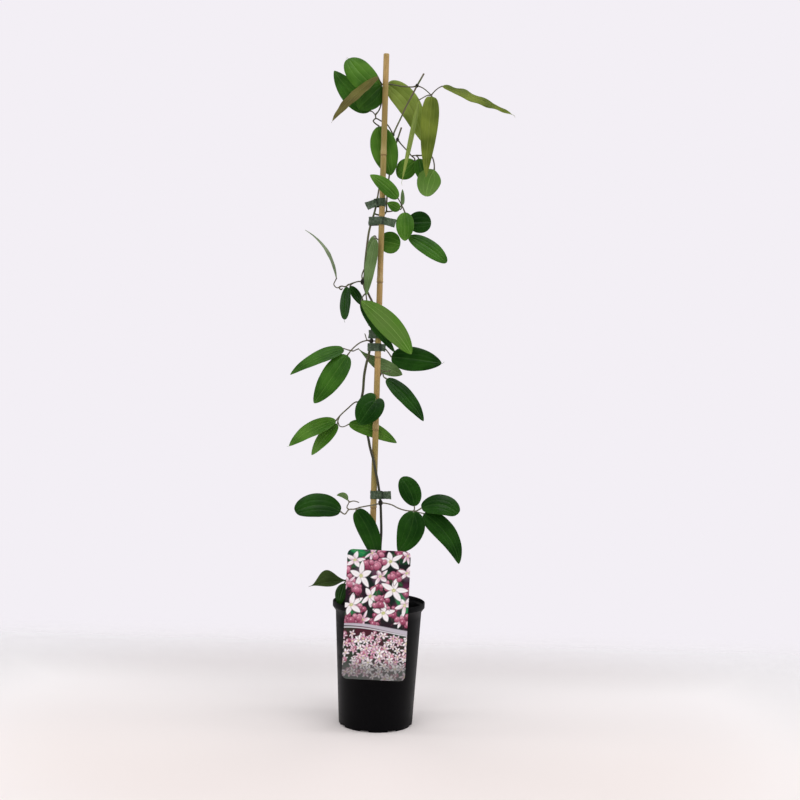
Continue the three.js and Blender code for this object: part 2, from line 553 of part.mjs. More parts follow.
      sweep: [-1, 0], widest: 0.45, taper: 0.7 },
  ],
  shoulder_right: [
    { base: [31.3, 12.2, 761.4], tip: [9, 20, 740], width: 27, face: [0, -1, 0.1], bend: [1, 2],
      widest: 0.5, taper: 0.6 },
    { base: [37, 11.6, 764.4], tip: [45, 10, 730], width: 20, face: [0.3, -1, 0], bend: [1, 2] },
    { base: [58, 0, 747.4], tip: [49, -12, 709], width: 32, face: [0, 1, 0.2], bend: [2, 5],
      sweep: [4, 4], lobe: 5, taper: 0.6, cup: -0.06 },
  ],
  crown_left: [
    { base: [-17.5, 5.2, 860], tip: [-47, -4, 826], width: 34, face: [0.34, -1, 0], bend: [1, 2],
      widest: 0.45, taper: 0.65 },
    { base: [-22.4, -4.4, 869.8], tip: [-78, -47, 798], width: 24, face: [-0.38, -0.65, 0.66], bend: [4, 6] },
    { base: [-9.2, 12.8, 864.4], tip: [44, 28, 788], width: 33, face: [0.1, -1, 0.1], bend: [2, 4],
      sweep: [18, 9], widest: 0.34 },
  ],
  crown_right: [
    { base: [51.9, -1.7, 846], tip: [47, -16, 734], width: 24, face: [0.2, -1, 0.1], bend: [3, 4],
      sweep: [-1, -3], widest: 0.28, taper: 0.85 },
    { base: [34.5, -5.2, 839.4], tip: [15, -18, 728], width: 15, face: [0, 1, 0], bend: [-2, -2], fold: 64 },
    { base: [66, 3.9, 861.6], tip: [162, 18, 830], width: 20, face: [0.25, -0.75, 0.6], bend: [1, 4] },
  ],
};

/** Half the width of a blade at a share s of its length, as a part of its greatest half-width. */
function outline(s, widest, taper, lobed) {
  if (lobed && s < LOBE_END) return (1 - Math.cos((Math.PI * s) / LOBE_END)) / 2;
  const rise = (taper * widest) / (1 - widest);
  const peak = widest ** rise * (1 - widest) ** taper;
  return (s ** rise * (1 - s) ** taper) / peak;
}

/** A leaflet: a thin block bent along its midrib, with its halves folded and its edge shaped. */
function leafletGeometry(choice) {
  const leaf = { ...LEAF_DEFAULTS, ...choice };
  const { base, tip, width, face, bend, sweep, fold, cup, lobe, taper, twist } = leaf;
  const widest = lobe ? LOBE_END : leaf.widest;
  const start = new THREE.Vector3(...base);
  const end = new THREE.Vector3(...tip);
  const along = end.clone().sub(start);
  const length = along.length();
  along.normalize();
  const up = new THREE.Vector3(...face);
  up.addScaledVector(along, -up.dot(along)).normalize();
  const side = new THREE.Vector3().crossVectors(up, along);
  const handle = (share, i) => start.clone().addScaledVector(along, share * length)
    .addScaledVector(up, bend[i]).addScaledVector(side, sweep[i]);
  const midrib = new THREE.CubicBezierCurve3(start, handle(1 / 3, 0), handle(2 / 3, 1), end);

  const stations = lobe ? 2 * BLADE_STATIONS : BLADE_STATIONS;
  const blade = new THREE.BoxGeometry(1, 1, 1, stations, BLADE_STRIPS, 1);
  const place = blade.attributes.position;
  for (let i = 0; i < place.count; i += 1) {
    const evenly = place.getX(i) + 0.5;
    const s = 0.5 * evenly + 0.25 * (1 - Math.cos(Math.PI * evenly));
    const v = 2 * place.getY(i);
    const tangent = midrib.getTangent(s);
    const turnedUp = up.clone().applyAxisAngle(along, radians(twist * s));
    const across = new THREE.Vector3().crossVectors(turnedUp, tangent).normalize();
    const normal = new THREE.Vector3().crossVectors(tangent, across);
    const half = BLADE_END_WIDTH * (0.5 - 0.25 * s) + (width / 2) * outline(s, widest, taper, lobe > 0);
    const rise = Math.abs(v) * half * Math.sin(radians(fold)) + cup * half * v * v;
    const back = lobe * v * v * Math.sin(Math.PI * Math.min(1, s / LOBE_END));
    const point = midrib.getPoint(s);
    point.addScaledVector(across, v * half * Math.cos(radians(fold)));
    point.addScaledVector(normal, rise + place.getZ(i) * BLADE_THICKNESS);
    point.addScaledVector(tangent, -back);
    place.setXYZ(i, point.x, point.y, point.z);
  }
  blade.computeVertexNormals();
  return blade;
}

// ---- The whole plant -------------------------------------------------------------------------

addPiece("nursery_pot", potGeometry(), 0x141416, 0.45);
addPiece("potting_soil", soilGeometry(), 0x2e2218, 0.95);
addPiece("bamboo_cane", caneGeometry(), 0xb08d52, 0.55);
addPiece("clematis_stem", vineGeometry(), 0x3a3a28, 0.6);
addLabel();
for (const [name, tie] of Object.entries(TIES)) {
  addPiece(name, tieGeometry(tie), 0x3c503f, 0.4);
}
for (const [leaf, leaflets] of Object.entries(LEAVES)) {
  leaflets.forEach((leaflet, i) => {
    addPiece(`leaflet_${leaf}_${i + 1}`, leafletGeometry(leaflet), 0x2f5a1c, 0.4);
  });
}

export default group;
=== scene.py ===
# %% [markdown]
# # A young evergreen clematis in a nursery pot
#
# The object is a climbing plant as a nursery sells it: a black pot of compost, a bamboo cane, a stem
# that is tied to the cane with green tape, leathery leaflets in threes on wiry stalks, and a picture
# label that hooks over the rim. The imported model gives the size and place of every piece. This script
# makes the surfaces that are seen. It starts by loading that model.

# %% Load the imported model
import math

import bpy
import numpy as np
from mathutils import Matrix


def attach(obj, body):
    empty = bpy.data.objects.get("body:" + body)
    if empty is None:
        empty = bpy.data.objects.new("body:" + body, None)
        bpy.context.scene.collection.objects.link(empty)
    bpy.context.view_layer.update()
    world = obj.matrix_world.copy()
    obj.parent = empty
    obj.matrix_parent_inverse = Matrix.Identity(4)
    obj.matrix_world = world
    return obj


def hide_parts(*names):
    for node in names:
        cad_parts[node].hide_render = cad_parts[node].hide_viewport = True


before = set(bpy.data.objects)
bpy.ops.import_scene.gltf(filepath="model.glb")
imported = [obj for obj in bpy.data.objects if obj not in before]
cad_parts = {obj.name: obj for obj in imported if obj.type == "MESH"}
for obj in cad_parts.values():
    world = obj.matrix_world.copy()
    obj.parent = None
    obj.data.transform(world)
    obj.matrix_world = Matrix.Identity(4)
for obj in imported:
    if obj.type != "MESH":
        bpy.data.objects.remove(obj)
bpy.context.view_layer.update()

MM = 0.001  # this script works in millimetres, and Blender in metres
print("CAD pieces:", len(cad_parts))

# %% [markdown]
# ## Surfaces from arrays
#
# Nearly everything on a plant is long and thin: a stem, a stalk, a cane, and also a leaf. Each could be
# a curve with a bevel, or a box that is subdivided and bent. Here each is a stack of rings instead: one
# closed outline at every station along a path. A ring is a row of an array, so a whole piece is one
# array of shape (rings, corners, 3), and its faces follow from counting. The piece is closed by a small
# fan of triangles at both ends, so no surface has an open edge.

# %% Rings into faces
def surface(points, quads, triangles, marks):
    """A surface in millimetres. marks holds, by name, one number for each point, for the materials."""
    return {"points": points, "quads": quads, "triangles": triangles, "marks": marks}


def skin(rings, loop=False, **marks):
    """Faces over a stack of rings, an array (ring, corner, xyz) whose corners turn anticlockwise about
    the way that the stack runs. Quads join each ring to the next. A fan to the middle of the first and
    last ring closes the ends, unless loop says that the last ring joins the first."""
    count, corners = rings.shape[:2]
    index = np.arange(count * corners).reshape(count, corners)
    lower, upper = (index, np.roll(index, -1, axis=0)) if loop else (index[:-1], index[1:])
    sides = [lower, np.roll(lower, -1, axis=1), np.roll(upper, -1, axis=1), upper]
    quads = np.stack(sides, axis=-1).reshape(-1, 4)
    points = rings.reshape(-1, 3)
    spread = {name: np.broadcast_to(mark, (count, corners)).ravel() for name, mark in marks.items()}
    if loop:
        return surface(points, quads, np.empty((0, 3), int), spread)
    first, last = index[0], index[-1]
    start = np.full(corners, len(points))
    fans = [np.column_stack([start, np.roll(first, -1), first]),
            np.column_stack([start + 1, last, np.roll(last, -1)])]
    points = np.vstack([points, rings[[0, -1]].mean(axis=1)])
    for name, mark in spread.items():
        spread[name] = np.append(mark, [mark[first].mean(), mark[last].mean()])
    return surface(points, quads, np.vstack(fans), spread)


def put_mesh(name, surfaces, smooth_angle=None):
    """One object from one or more surfaces. Its place is in its mesh, and each mark becomes a point
    attribute. With smooth_angle, edges sharper than that many degrees stay sharp."""
    starts = np.cumsum([0] + [len(each["points"]) for each in surfaces])
    points = np.vstack([each["points"] for each in surfaces]) * MM
    quads = np.vstack([each["quads"] + start for each, start in zip(surfaces, starts)])
    triangles = np.vstack([each["triangles"] + start for each, start in zip(surfaces, starts)])
    mesh = bpy.data.meshes.new(name)
    mesh.vertices.add(len(points))
    mesh.vertices.foreach_set("co", points.astype(np.float32).ravel())
    corners = np.concatenate([quads.ravel(), triangles.ravel()])
    mesh.loops.add(len(corners))
    mesh.loops.foreach_set("vertex_index", corners.astype(np.int32))
    first = np.concatenate([4 * np.arange(len(quads)), quads.size + 3 * np.arange(len(triangles))])
    mesh.polygons.add(len(first))
    mesh.polygons.foreach_set("loop_start", first.astype(np.int32))
    mesh.update(calc_edges=True)
    mesh.shade_smooth()
    if smooth_angle is not None:
        mesh.set_sharp_from_angle(angle=math.radians(smooth_angle))
    for mark in surfaces[0]["marks"]:
        values = np.concatenate([each["marks"][mark] for each in surfaces])
        mesh.attributes.new(mark, "FLOAT", "POINT").data.foreach_set("value", values.astype(np.float32))
    piece = bpy.data.objects.new(name, mesh)
    bpy.context.scene.collection.objects.link(piece)
    return piece


def settle(piece, material, slot, *nodes):
    """Gives a piece its material, lets it ride on the plant's one body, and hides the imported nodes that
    it stands for."""
    piece.data.materials.append(material)
    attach(piece, "root")
    if nodes:
        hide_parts(*nodes)


print("mesh helpers are ready")

# %% [markdown]
# ## Paths
#
# A stem's route is a handful of given points. The curve through them is a centripetal
# Catmull-Rom spline, the same kind as in the CAD model, because it passes through every point and
# makes no loops where points lie close together. Along it, the ring's plane has to turn without
# spinning. Blender's own curves do that for us. With arrays it takes one carried direction, which each
# station keeps as well as its own heading allows.

# %% A smooth route and its rings
def route(points, step):
    """A centripetal Catmull-Rom curve through the points, with about one station for each step. Each
    span is a cubic Hermite curve whose end slopes come from its neighbours, weighted by the square
    roots of the spans' lengths."""
    points = np.array(points, float)
    padded = np.vstack([2 * points[0] - points[1], points, 2 * points[-1] - points[-2]])
    span = np.sqrt(np.linalg.norm(np.diff(padded, axis=0), axis=1))[:, None]
    before, here, after = span[:-2], span[1:-1], span[2:]
    p0, p1, p2, p3 = padded[:-3], padded[1:-2], padded[2:-1], padded[3:]
    slope_in = here * ((p1 - p0) / before - (p2 - p0) / (before + here) + (p2 - p1) / here)
    slope_out = here * ((p2 - p1) / here - (p3 - p1) / (here + after) + (p3 - p2) / after)
    cuts = max(2, round(float(np.mean(here**2)) / step))
    t = (np.arange(cuts) / cuts)[None, :, None]
    p1, p2, slope_in, slope_out = (each[:, None] for each in (p1, p2, slope_in, slope_out))
    curve = (p1 * (2 * t**3 - 3 * t**2 + 1) + slope_in * (t**3 - 2 * t**2 + t)
             + p2 * (3 * t**2 - 2 * t**3) + slope_out * (t**3 - t**2))
    return np.vstack([curve.reshape(-1, 3), points[-1]])


def unit(vectors):
    """Vectors, or one vector, brought to length 1."""
    return np.asarray(vectors, float) / np.linalg.norm(vectors, axis=-1, keepdims=True)


FIRST_ACROSS = np.array([0.61, 0.52, 0.6])  # any direction that no route starts along


def frames(path):
    """The heading at each station of a path, and two directions across it. The first of them is the
    one at the station before, made square to the new heading."""
    ahead = unit(np.gradient(path, axis=0))
    across = np.empty_like(path)
    carried = FIRST_ACROSS
    for station, heading in enumerate(ahead):
        carried = unit(carried - (carried @ heading) * heading)
        across[station] = carried
    return ahead, across, np.cross(ahead, across)


def travelled(path):
    """The distance along a path at each of its stations."""
    return np.append(0, np.cumsum(np.linalg.norm(np.diff(path, axis=0), axis=1)))


def full_turn(corners):
    """Evenly spaced angles once round, in radians."""
    return np.linspace(0, 2 * np.pi, corners, endpoint=False)


def on_circle(centre, radius, turn):
    """Points [x, y] on a circle, at the given angles."""
    return np.array(centre) + radius * np.column_stack([np.cos(turn), np.sin(turn)])


def spun(x, y, turn):
    """The coordinates x and y after a turn from x towards y, in radians."""
    return x * np.cos(turn) - y * np.sin(turn), x * np.sin(turn) + y * np.cos(turn)


def tube(path, radius, corners, ribs=0, rib_depth=0.0, **marks):
    """A round or ribbed tube: at each station a circle of the given radius, whose radius also waves
    ribs times round by rib_depth."""
    turn = full_turn(corners)
    reach = np.broadcast_to(radius, len(path))[:, None] * (1 + rib_depth * np.cos(ribs * turn))
    _, across, over = frames(path)
    ring = np.cos(turn)[:, None] * across[:, None] + np.sin(turn)[:, None] * over[:, None]
    marks = {name: np.reshape(mark, (-1, 1)) for name, mark in marks.items()}
    return skin(path[:, None] + reach[..., None] * ring, **marks)


def turned_rings(section, corners):
    """A section of [radius, height] rows turned about the upright axis, as an array of rings."""
    turn = full_turn(corners)
    radius, height = section[:, 0, None], section[:, 1, None]
    return np.stack([radius * np.cos(turn), radius * np.sin(turn), height + 0 * turn], axis=-1)


def ball(centre, radii, rows, corners, **marks):
    """An ellipsoid, as rings from its lowest point to its highest."""
    rise = np.linspace(0.12, np.pi - 0.12, rows)
    shape = turned_rings(np.column_stack([np.sin(rise), -np.cos(rise)]), corners)
    return skin(np.array(centre) + shape * np.array(radii), **marks)


def bell(distance, width):
    """1 at no distance, falling as e to the minus square of the distance in widths."""
    return np.exp(-((distance / width) ** 2))


def waves(points, length, seed):
    """Smooth noise from about -1 to 1 in space: 1.6 times the mean of eight plane waves of about the
    given length, whose headings and phases come from a seed."""
    chance = np.random.default_rng(seed)
    headings = chance.normal(size=(8, 3))
    headings *= chance.uniform(0.6, 1.7, (8, 1)) / np.linalg.norm(headings, axis=1, keepdims=True)
    phases = chance.uniform(0, 2 * np.pi, 8)
    turns = np.asarray(points) @ headings.T * (2 * np.pi / length) + phases
    return np.sin(turns).mean(axis=-1) * 1.6


print("path helpers are ready")

# %% [markdown]
# ## Shader arithmetic
#
# A material is a small calculation: where is this spot, how far is it from a vein, what colour follows.
# It can be drawn as nodes by hand, but twenty Math nodes are hard to read. So one small class wraps a
# socket and lets Python's own operators add the Math nodes. Colours never go through them. They are
# mixed, because a Math node would turn a colour grey.

# %% One class for values, one for a material
class Wire:
    """A number in a shader. Arithmetic on it adds Math nodes."""

    def __init__(self, paint, socket):
        self.paint = paint
        self.socket = socket

    def math(self, operation, *others):
        return self.paint.node("ShaderNodeMath", {"operation": operation}, (self, *others))

    def __add__(self, other):
        return self.math("ADD", other)

    def __sub__(self, other):
        return self.math("SUBTRACT", other)

    def __rsub__(self, other):
        return self.paint.node("ShaderNodeMath", {"operation": "SUBTRACT"}, (other, self))

    def __mul__(self, other):
        return self.math("MULTIPLY", other)

    def __abs__(self):
        return self.math("ABSOLUTE")

    __radd__ = __add__
    __rmul__ = __mul__


def paint_colour(red, green, blue):
    """A colour given as a paint chart gives it, 0 to 255, as the linear light that shaders use: a power
    of 2.4, with a short straight part near black."""
    chart = np.array([red, green, blue]) / 255
    return tuple(np.where(chart <= 0.04045, chart / 12.92, ((chart + 0.055) / 1.055) ** 2.4).tolist())


class Paint:
    """The node tree of a new material, or of another owner such as the world."""

    def __init__(self, name, owner=None):
        self.material = owner or bpy.data.materials.new(name)
        self.material.use_nodes = True
        self.tree = self.material.node_tree
        self.tree.nodes.clear()

    def node(self, kind, settings=None, sockets=(), output=0):
        """Adds a node: its type, then its settings, then a value or link for each socket, by order or
        by name."""
        made = self.tree.nodes.new(kind)
        for setting, value in (settings or {}).items():
            setattr(made, setting, value)
        pairs = sockets.items() if isinstance(sockets, dict) else enumerate(sockets)
        for socket, value in pairs:
            if isinstance(value, Wire):
                self.tree.links.new(value.socket, made.inputs[socket])
            else:
                made.inputs[socket].default_value = value
        return Wire(self, made.outputs[output]) if made.outputs else None

    def mark(self, name):
        """A mark that the mesh holds for each of its points."""
        return self.node("ShaderNodeAttribute", {"attribute_name": name}, (), "Fac")

    def place(self, stretch=(1, 1, 1)):
        """The spot's place on the object, in metres, stretched along each axis."""
        spot = self.node("ShaderNodeTexCoord", None, (), "Object")
        return self.node("ShaderNodeVectorMath", {"operation": "MULTIPLY"}, (spot, stretch))

    def noise(self, where, scale, detail=3.0, roughness=0.55):
        """Cloudy noise from 0 to 1, with about scale clouds in a unit of where."""
        sockets = {"Vector": where, "Scale": scale, "Detail": detail, "Roughness": roughness}
        return self.node("ShaderNodeTexNoise", None, sockets)

    def cells(self, where, scale, feature="F1", output="Distance"):
        """Distance to scattered points, or to the borders between their cells."""
        sockets = {"Vector": where, "Scale": scale}
        return self.node("ShaderNodeTexVoronoi", {"feature": feature}, sockets, output)

    def step(self, value, low, high):
        """0 below low and 1 above high, with a smooth rise between, or a fall if low is the higher."""
        settings = {"interpolation_type": "SMOOTHSTEP"}
        sockets = (value, min(low, high), max(low, high), *((0.0, 1.0) if low < high else (1.0, 0.0)))
        return self.node("ShaderNodeMapRange", settings, sockets)

    def blend(self, share, first, second):
        """A colour between two: the first where share is 0, the second where it is 1. Each is a
        socket, or three numbers from a paint chart."""
        colours = [each if isinstance(each, Wire) else (*paint_colour(*each), 1) for each in (first, second)]
        sockets = {0: share, 6: colours[0], 7: colours[1]}
        return self.node("ShaderNodeMix", {"data_type": "RGBA"}, sockets, 2)

    def relief(self, height, depth, strength=1.0):
        """A normal that shows height, from 0 to 1, as relief of that depth in metres."""
        sockets = {"Strength": strength, "Distance": depth, "Height": height}
        return self.node("ShaderNodeBump", None, sockets)

    def finish(self, **sockets):
        """The surface shader. Keyword names are its sockets, with _ for a space."""
        sockets = {name.replace("_", " "): value for name, value in sockets.items()}
        shader = self.node("ShaderNodeBsdfPrincipled", None, sockets)
        self.node("ShaderNodeOutputMaterial", None, (shader,))
        return self.material


print("shader helpers are ready")

# %% [markdown]
# ## Camera, floor and light
#
# The photograph looks level from about a metre and a half away, and its camera is turned a little, so
# upright lines lean. The floor could be a plane out to a horizon, which would draw a line behind the
# plant. A disc that fades out, soon behind the plant and late on its other sides, looks like the curved
# backdrop of a photo studio. The light is soft: white walls at four corners, a tall panel at each side,
# one overhead, and a pale surrounding that is darker behind the camera, so that the black pot stays
# black.

# %% The camera
CAMERA_PLACE = (20.7, -1500, 435.5)
CAMERA_ROLL = math.radians(1.65)
CAMERA_LENS, CAMERA_SENSOR = 50, 36

camera = bpy.data.objects.new("camera", bpy.data.cameras.new("camera"))
camera.data.lens = CAMERA_LENS
camera.data.sensor_width = CAMERA_SENSOR
lean = (math.cos(CAMERA_ROLL), math.sin(CAMERA_ROLL))
camera.matrix_world = Matrix((
    (lean[0], -lean[1], 0, CAMERA_PLACE[0] * MM),
    (0, 0, -1, CAMERA_PLACE[1] * MM),
    (lean[1], lean[0], 0, CAMERA_PLACE[2] * MM),
    (0, 0, 0, 1),
))
bpy.context.scene.collection.objects.link(camera)
bpy.context.scene.camera = camera
bpy.context.scene.view_settings.view_transform = "Standard"  # colours as they are mixed
print("camera at", [round(value, 3) for value in camera.location])

# %% The floor
FLOOR_RADIUS, FLOOR_DEPTH, FLOOR_RINGS = 1100, 5, 12
WALL_FADE = (0.16, 0.66)  # metres behind the plant, where the floor bends up into the backdrop
EDGE_FADE = (0.5, 1.08)  # metres from the middle, on all other sides

floor_reach = np.append(1, np.linspace(1, 0.02, FLOOR_RINGS)) * FLOOR_RADIUS
floor_height = np.append(-FLOOR_DEPTH, np.zeros(FLOOR_RINGS))
floor = put_mesh("floor", [skin(turned_rings(np.column_stack([floor_reach, floor_height]), 96))])

paint = Paint("studio floor")
spot = paint.place()
right, back = (paint.node("ShaderNodeSeparateXYZ", None, (spot,), axis) for axis in "XY")
reach = (right * right + back * back).math("SQRT")
cloud = paint.noise(spot, 3.0)
ground = paint.blend(cloud, (245, 236, 234), (242, 233, 231))
ground = paint.blend(paint.step(back, -0.25, 0.25), ground, (247, 242, 243))
ground = paint.blend(paint.step(reach, 0.35, 0.85), ground, (255, 253, 255))
floor_shader = paint.node("ShaderNodeBsdfDiffuse", None, {"Color": ground})
clear_shader = paint.node("ShaderNodeBsdfTransparent")
fade = paint.step(back, *WALL_FADE).math("MAXIMUM", paint.step(reach, *EDGE_FADE))
paint.node("ShaderNodeOutputMaterial", None, (
    paint.node("ShaderNodeMixShader", None, (fade, floor_shader, clear_shader)),))
floor.data.materials.append(paint.material)
print("floor faces:", len(floor.data.polygons))

# %% The light
BACKDROP = paint_colour(243, 239, 245)
ROOM_BRIGHT = 0.36
ROOM_DIM = 0.04  # in front of the plant, behind the camera

world = bpy.data.worlds.new("studio")
bpy.context.scene.world = world
room = Paint("studio", world)
heading = room.node("ShaderNodeTexCoord", None, (), "Generated")
forward = room.node("ShaderNodeSeparateXYZ", None, (heading,), "Y")
above = room.node("ShaderNodeSeparateXYZ", None, (heading,), "Z")
strength = room.step(forward + 0.5 * above, -0.45, 0.5) * (ROOM_BRIGHT - ROOM_DIM) + ROOM_DIM
lit = room.node("ShaderNodeBackground", None, {"Color": (1.0, 0.985, 0.99, 1), "Strength": strength})
seen = room.node("ShaderNodeBackground", None, {"Color": (*BACKDROP, 1), "Strength": 1.0})
straight = room.node("ShaderNodeLightPath", None, (), "Is Camera Ray")
room.node("ShaderNodeOutputWorld", None, (room.node("ShaderNodeMixShader", None, (straight, lit, seen)),))


def panel(name, place, size, power, shine=True, target=(0, 0, 420)):
    """A soft rectangular light, in millimetres and watts, that faces its target. Without shine it
    lights a surface but isn't mirrored in it, as a wide white wall hardly is."""
    light = bpy.data.lights.new(name, "AREA")
    light.shape = "RECTANGLE"
    light.size, light.size_y = (length * MM for length in size)
    light.energy = power
    lamp = bpy.data.objects.new(name, light)
    lamp.visible_glossy = shine
    away = unit(np.array(place, float) - target)
    right = unit(np.cross((0, 0, 1), away))
    columns = np.column_stack([right, np.cross(away, right), away, np.array(place) * MM])
    lamp.matrix_world = Matrix([*columns.tolist(), (0, 0, 0, 1)])
    bpy.context.scene.collection.objects.link(lamp)


panel("front_left_wall", (-1300, -1700, 1000), (2000, 1800), 21, shine=False)
panel("front_right_wall", (1300, -1700, 900), (2000, 1800), 18, shine=False)
panel("back_left_wall", (-1300, 1700, 1000), (2000, 1800), 11, shine=False)
panel("back_right_wall", (1300, 1700, 1000), (2000, 1800), 11, shine=False)
panel("left_panel", (-1500, -100, 900), (500, 1500), 6)
panel("right_panel", (1500, 0, 900), (500, 1500), 6)
panel("top_panel", (200, -500, 1900), (1200, 900), 9)
print("lights:", len(bpy.data.lights))

# %% [markdown]
# ## The pot
#
# A nursery pot is one thin injection moulding: a tapered wall, a stiff collar at the rim that carries
# it in trays, and drain slots cut across the corner of floor and wall. As a turned shape, its section
# runs from the middle of the underside, out, up the outside, over the lip and down the inside again, so
# wall thickness and inside come for free. The slots are cut afterwards with a boolean, as drilling
# them would.

# %% The pot's shape
POT_HEIGHT = 164
POT_BASE_RADIUS = 49.5
POT_NECK_RADIUS = 58
POT_RIM_RADIUS = 62
POT_COLLAR_HEIGHT = 8
POT_WALL = 1.4
POT_FLOOR = 2
POT_CORNERS = 192
DRAIN_COUNT = 8
DRAIN_TURN = -107  # degrees to the first slot
DRAIN_WIDTH, DRAIN_HEIGHT, DRAIN_REACH = 13, 2.2, 9
EDGE_ANGLE = 32  # degrees between faces, past which the pot's edges stay sharp

NECK = POT_HEIGHT - POT_COLLAR_HEIGHT


def wall_radius(height):
    """Outside radius of the wall at a height, on a straight line from base to neck."""
    return POT_BASE_RADIUS + (POT_NECK_RADIUS - POT_BASE_RADIUS) * np.asarray(height) / NECK


def corner(centre, radius, first, last, steps=6):
    """A rounded corner of a section, between two angles in degrees."""
    return on_circle(centre, radius, np.radians(np.linspace(first, last, steps)))


inside_neck = POT_NECK_RADIUS - POT_WALL
collar_inside = POT_RIM_RADIUS - POT_WALL
pot_section = np.vstack([
    [[0.5, 0.9], [30, 0.9], [31, 0]],
    corner((POT_BASE_RADIUS - 1.6, 1.6), 1.6, -90, -4),
    np.linspace((wall_radius(6), 6), (POT_NECK_RADIUS - 0.25, NECK - 5), 24),
    corner((POT_RIM_RADIUS - 0.7, NECK + 1.1), 0.7, -80, 0, 5),
    corner((POT_RIM_RADIUS - 1.0, POT_HEIGHT - 1.3), 1.1, 5, 80, 6),
    corner((collar_inside + 0.6, POT_HEIGHT - 0.6), 0.6, 100, 175, 4),
    [[collar_inside - 0.2, NECK + 3.2], [inside_neck + 0.6, NECK + 1.2]],
    np.linspace((inside_neck, NECK - 1), (wall_radius(6) - POT_WALL, 6), 10),
    corner((wall_radius(4) - POT_WALL - 2, 4), 2, 0, -90, 4),
    [[0.5, POT_FLOOR]],
])
pot = put_mesh("pot", [skin(turned_rings(pot_section, POT_CORNERS))])

slot_box = np.array([(x, y, z) for z in (-1, 1) for x, y in ((1, -1), (1, 1), (-1, 1), (-1, -1))], float)
slot_box *= (DRAIN_REACH, DRAIN_WIDTH / 2, DRAIN_HEIGHT)
slot_box[:, 0] += POT_BASE_RADIUS
slots = []
for turn in np.radians(DRAIN_TURN + np.arange(DRAIN_COUNT) * 360 / DRAIN_COUNT):
    x, y = spun(slot_box[:, 0], slot_box[:, 1], turn)
    slots.append(skin(np.column_stack([x, y, slot_box[:, 2]]).reshape(2, 4, 3)))
cutter = put_mesh("slot_cutter", slots)


def cut(piece, tool, smooth_angle):
    """Takes the tool's solid out of the piece and removes the tool."""
    change = piece.modifiers.new("cut", "BOOLEAN")
    change.object = tool
    change.solver = "EXACT"
    shape = piece.evaluated_get(bpy.context.evaluated_depsgraph_get())
    piece.data = bpy.data.meshes.new_from_object(shape)
    piece.modifiers.clear()
    bpy.data.objects.remove(tool)
    piece.data.set_sharp_from_angle(angle=math.radians(smooth_angle))


cut(pot, cutter, EDGE_ANGLE)
print("pot faces:", len(pot.data.polygons))

# %% [markdown]
# ## Black plastic
#
# The pot isn't simply black. It has a satin skin, faint upright drag marks from the mould, dust that
# settles in soft clouds, and fine scratches round it from being stacked. They could be painted on an
# image, which would blur close up. Here all of that sits in roughness and a little in colour, and the
# marks are noise that is squeezed in one direction.

# %% The pot's finish
paint = Paint("black pot plastic")
drag = paint.noise(paint.place((1, 1, 0.06)), 900, 2.0)
scuff = paint.noise(paint.place((0.25, 0.25, 6)), 130, 4.0)
dust = paint.step(paint.noise(paint.place(), 28, 5.0, 0.62), 0.5, 0.78)
colour = paint.blend(dust * 0.5, (0, 0, 2), (7, 7, 9))
rough = 0.36 + 0.1 * drag + 0.12 * paint.step(scuff, 0.55, 0.75) + 0.18 * dust
bump = paint.relief(0.7 * drag + 0.3 * scuff, 0.00008, 0.5)
pot_finish = paint.finish(Base_Color=colour, Roughness=rough, Normal=bump, IOR=1.46, Specular_IOR_Level=0.1)
settle(pot, pot_finish, "pot", "nursery_pot")
print("finish:", pot_finish.name)

# %% [markdown]
# ## Compost
#
# The pot is filled to two centimetres below the rim with a loose mix of peat and bark. It could be a
# bumpy disc with noise in its material. From above that looks like a cake. So the disc is shaped by
# three sizes of wave, and several hundred bark crumbs lie on it: one rough pebble of a few dozen faces,
# stretched, turned and tinted for each.

# %% The compost's surface
SOIL_TOP = 142
ROOT_DEPTH = 46
CANE_X, STEM_X = -11, 4
SOIL_GAP = 0.45  # between the compost and the pot's wall
SOIL_RADIUS = float(wall_radius(SOIL_TOP)) - POT_WALL - SOIL_GAP
BED_SIDE, BED_TOP, BED_CORNERS = 6, 64, 150  # rings up the side and over the top, and their corners


def compost_height(x, y):
    """Height of the compost at a place: hollows, clods and crumbs, each a wave of its own length."""
    spot = np.stack([x, y, 0 * x], axis=-1)
    return SOIL_TOP + 1.1 * waves(spot, 42, 1) + 0.8 * waves(spot, 15, 2) + 0.55 * waves(spot, 6, 3)


side_height = np.linspace(5, SOIL_TOP - 4, BED_SIDE)
side_reach = wall_radius(side_height) - POT_WALL - SOIL_GAP
bed_height = np.concatenate([[2.4, 2.4], side_height, np.full(BED_TOP, SOIL_TOP)])
bed_reach = np.concatenate([[2.0, wall_radius(4) - 2.6], side_reach, np.linspace(SOIL_RADIUS, 0.3, BED_TOP)])
bed = turned_rings(np.column_stack([bed_reach, bed_height]), BED_CORNERS)
over_top = bed[-BED_TOP:]
edge_drop = 1.2 * (np.hypot(*over_top[..., :2].T).T / 56) ** 8
over_top[..., 2] = compost_height(over_top[..., 0], over_top[..., 1]) - edge_drop
compost = put_mesh("compost", [skin(bed)])
print("compost faces:", len(compost.data.polygons))

# %% Bark crumbs
CRUMBS = 520
CLEAR_OF_CANE, CLEAR_OF_STEM = 8, 6
chance = np.random.default_rng(11)
crumb_reach = SOIL_RADIUS * 0.97 * np.sqrt(chance.uniform(0, 1, CRUMBS))
crumb_turn = chance.uniform(0, 2 * np.pi, CRUMBS)
crumb_x, crumb_y = crumb_reach * np.cos(crumb_turn), crumb_reach * np.sin(crumb_turn)
clear = ((np.hypot(crumb_x - CANE_X, crumb_y) > CLEAR_OF_CANE)
         & (np.hypot(crumb_x - STEM_X, crumb_y) > CLEAR_OF_STEM))
crumb_x, crumb_y = crumb_x[clear], crumb_y[clear]
count = len(crumb_x)

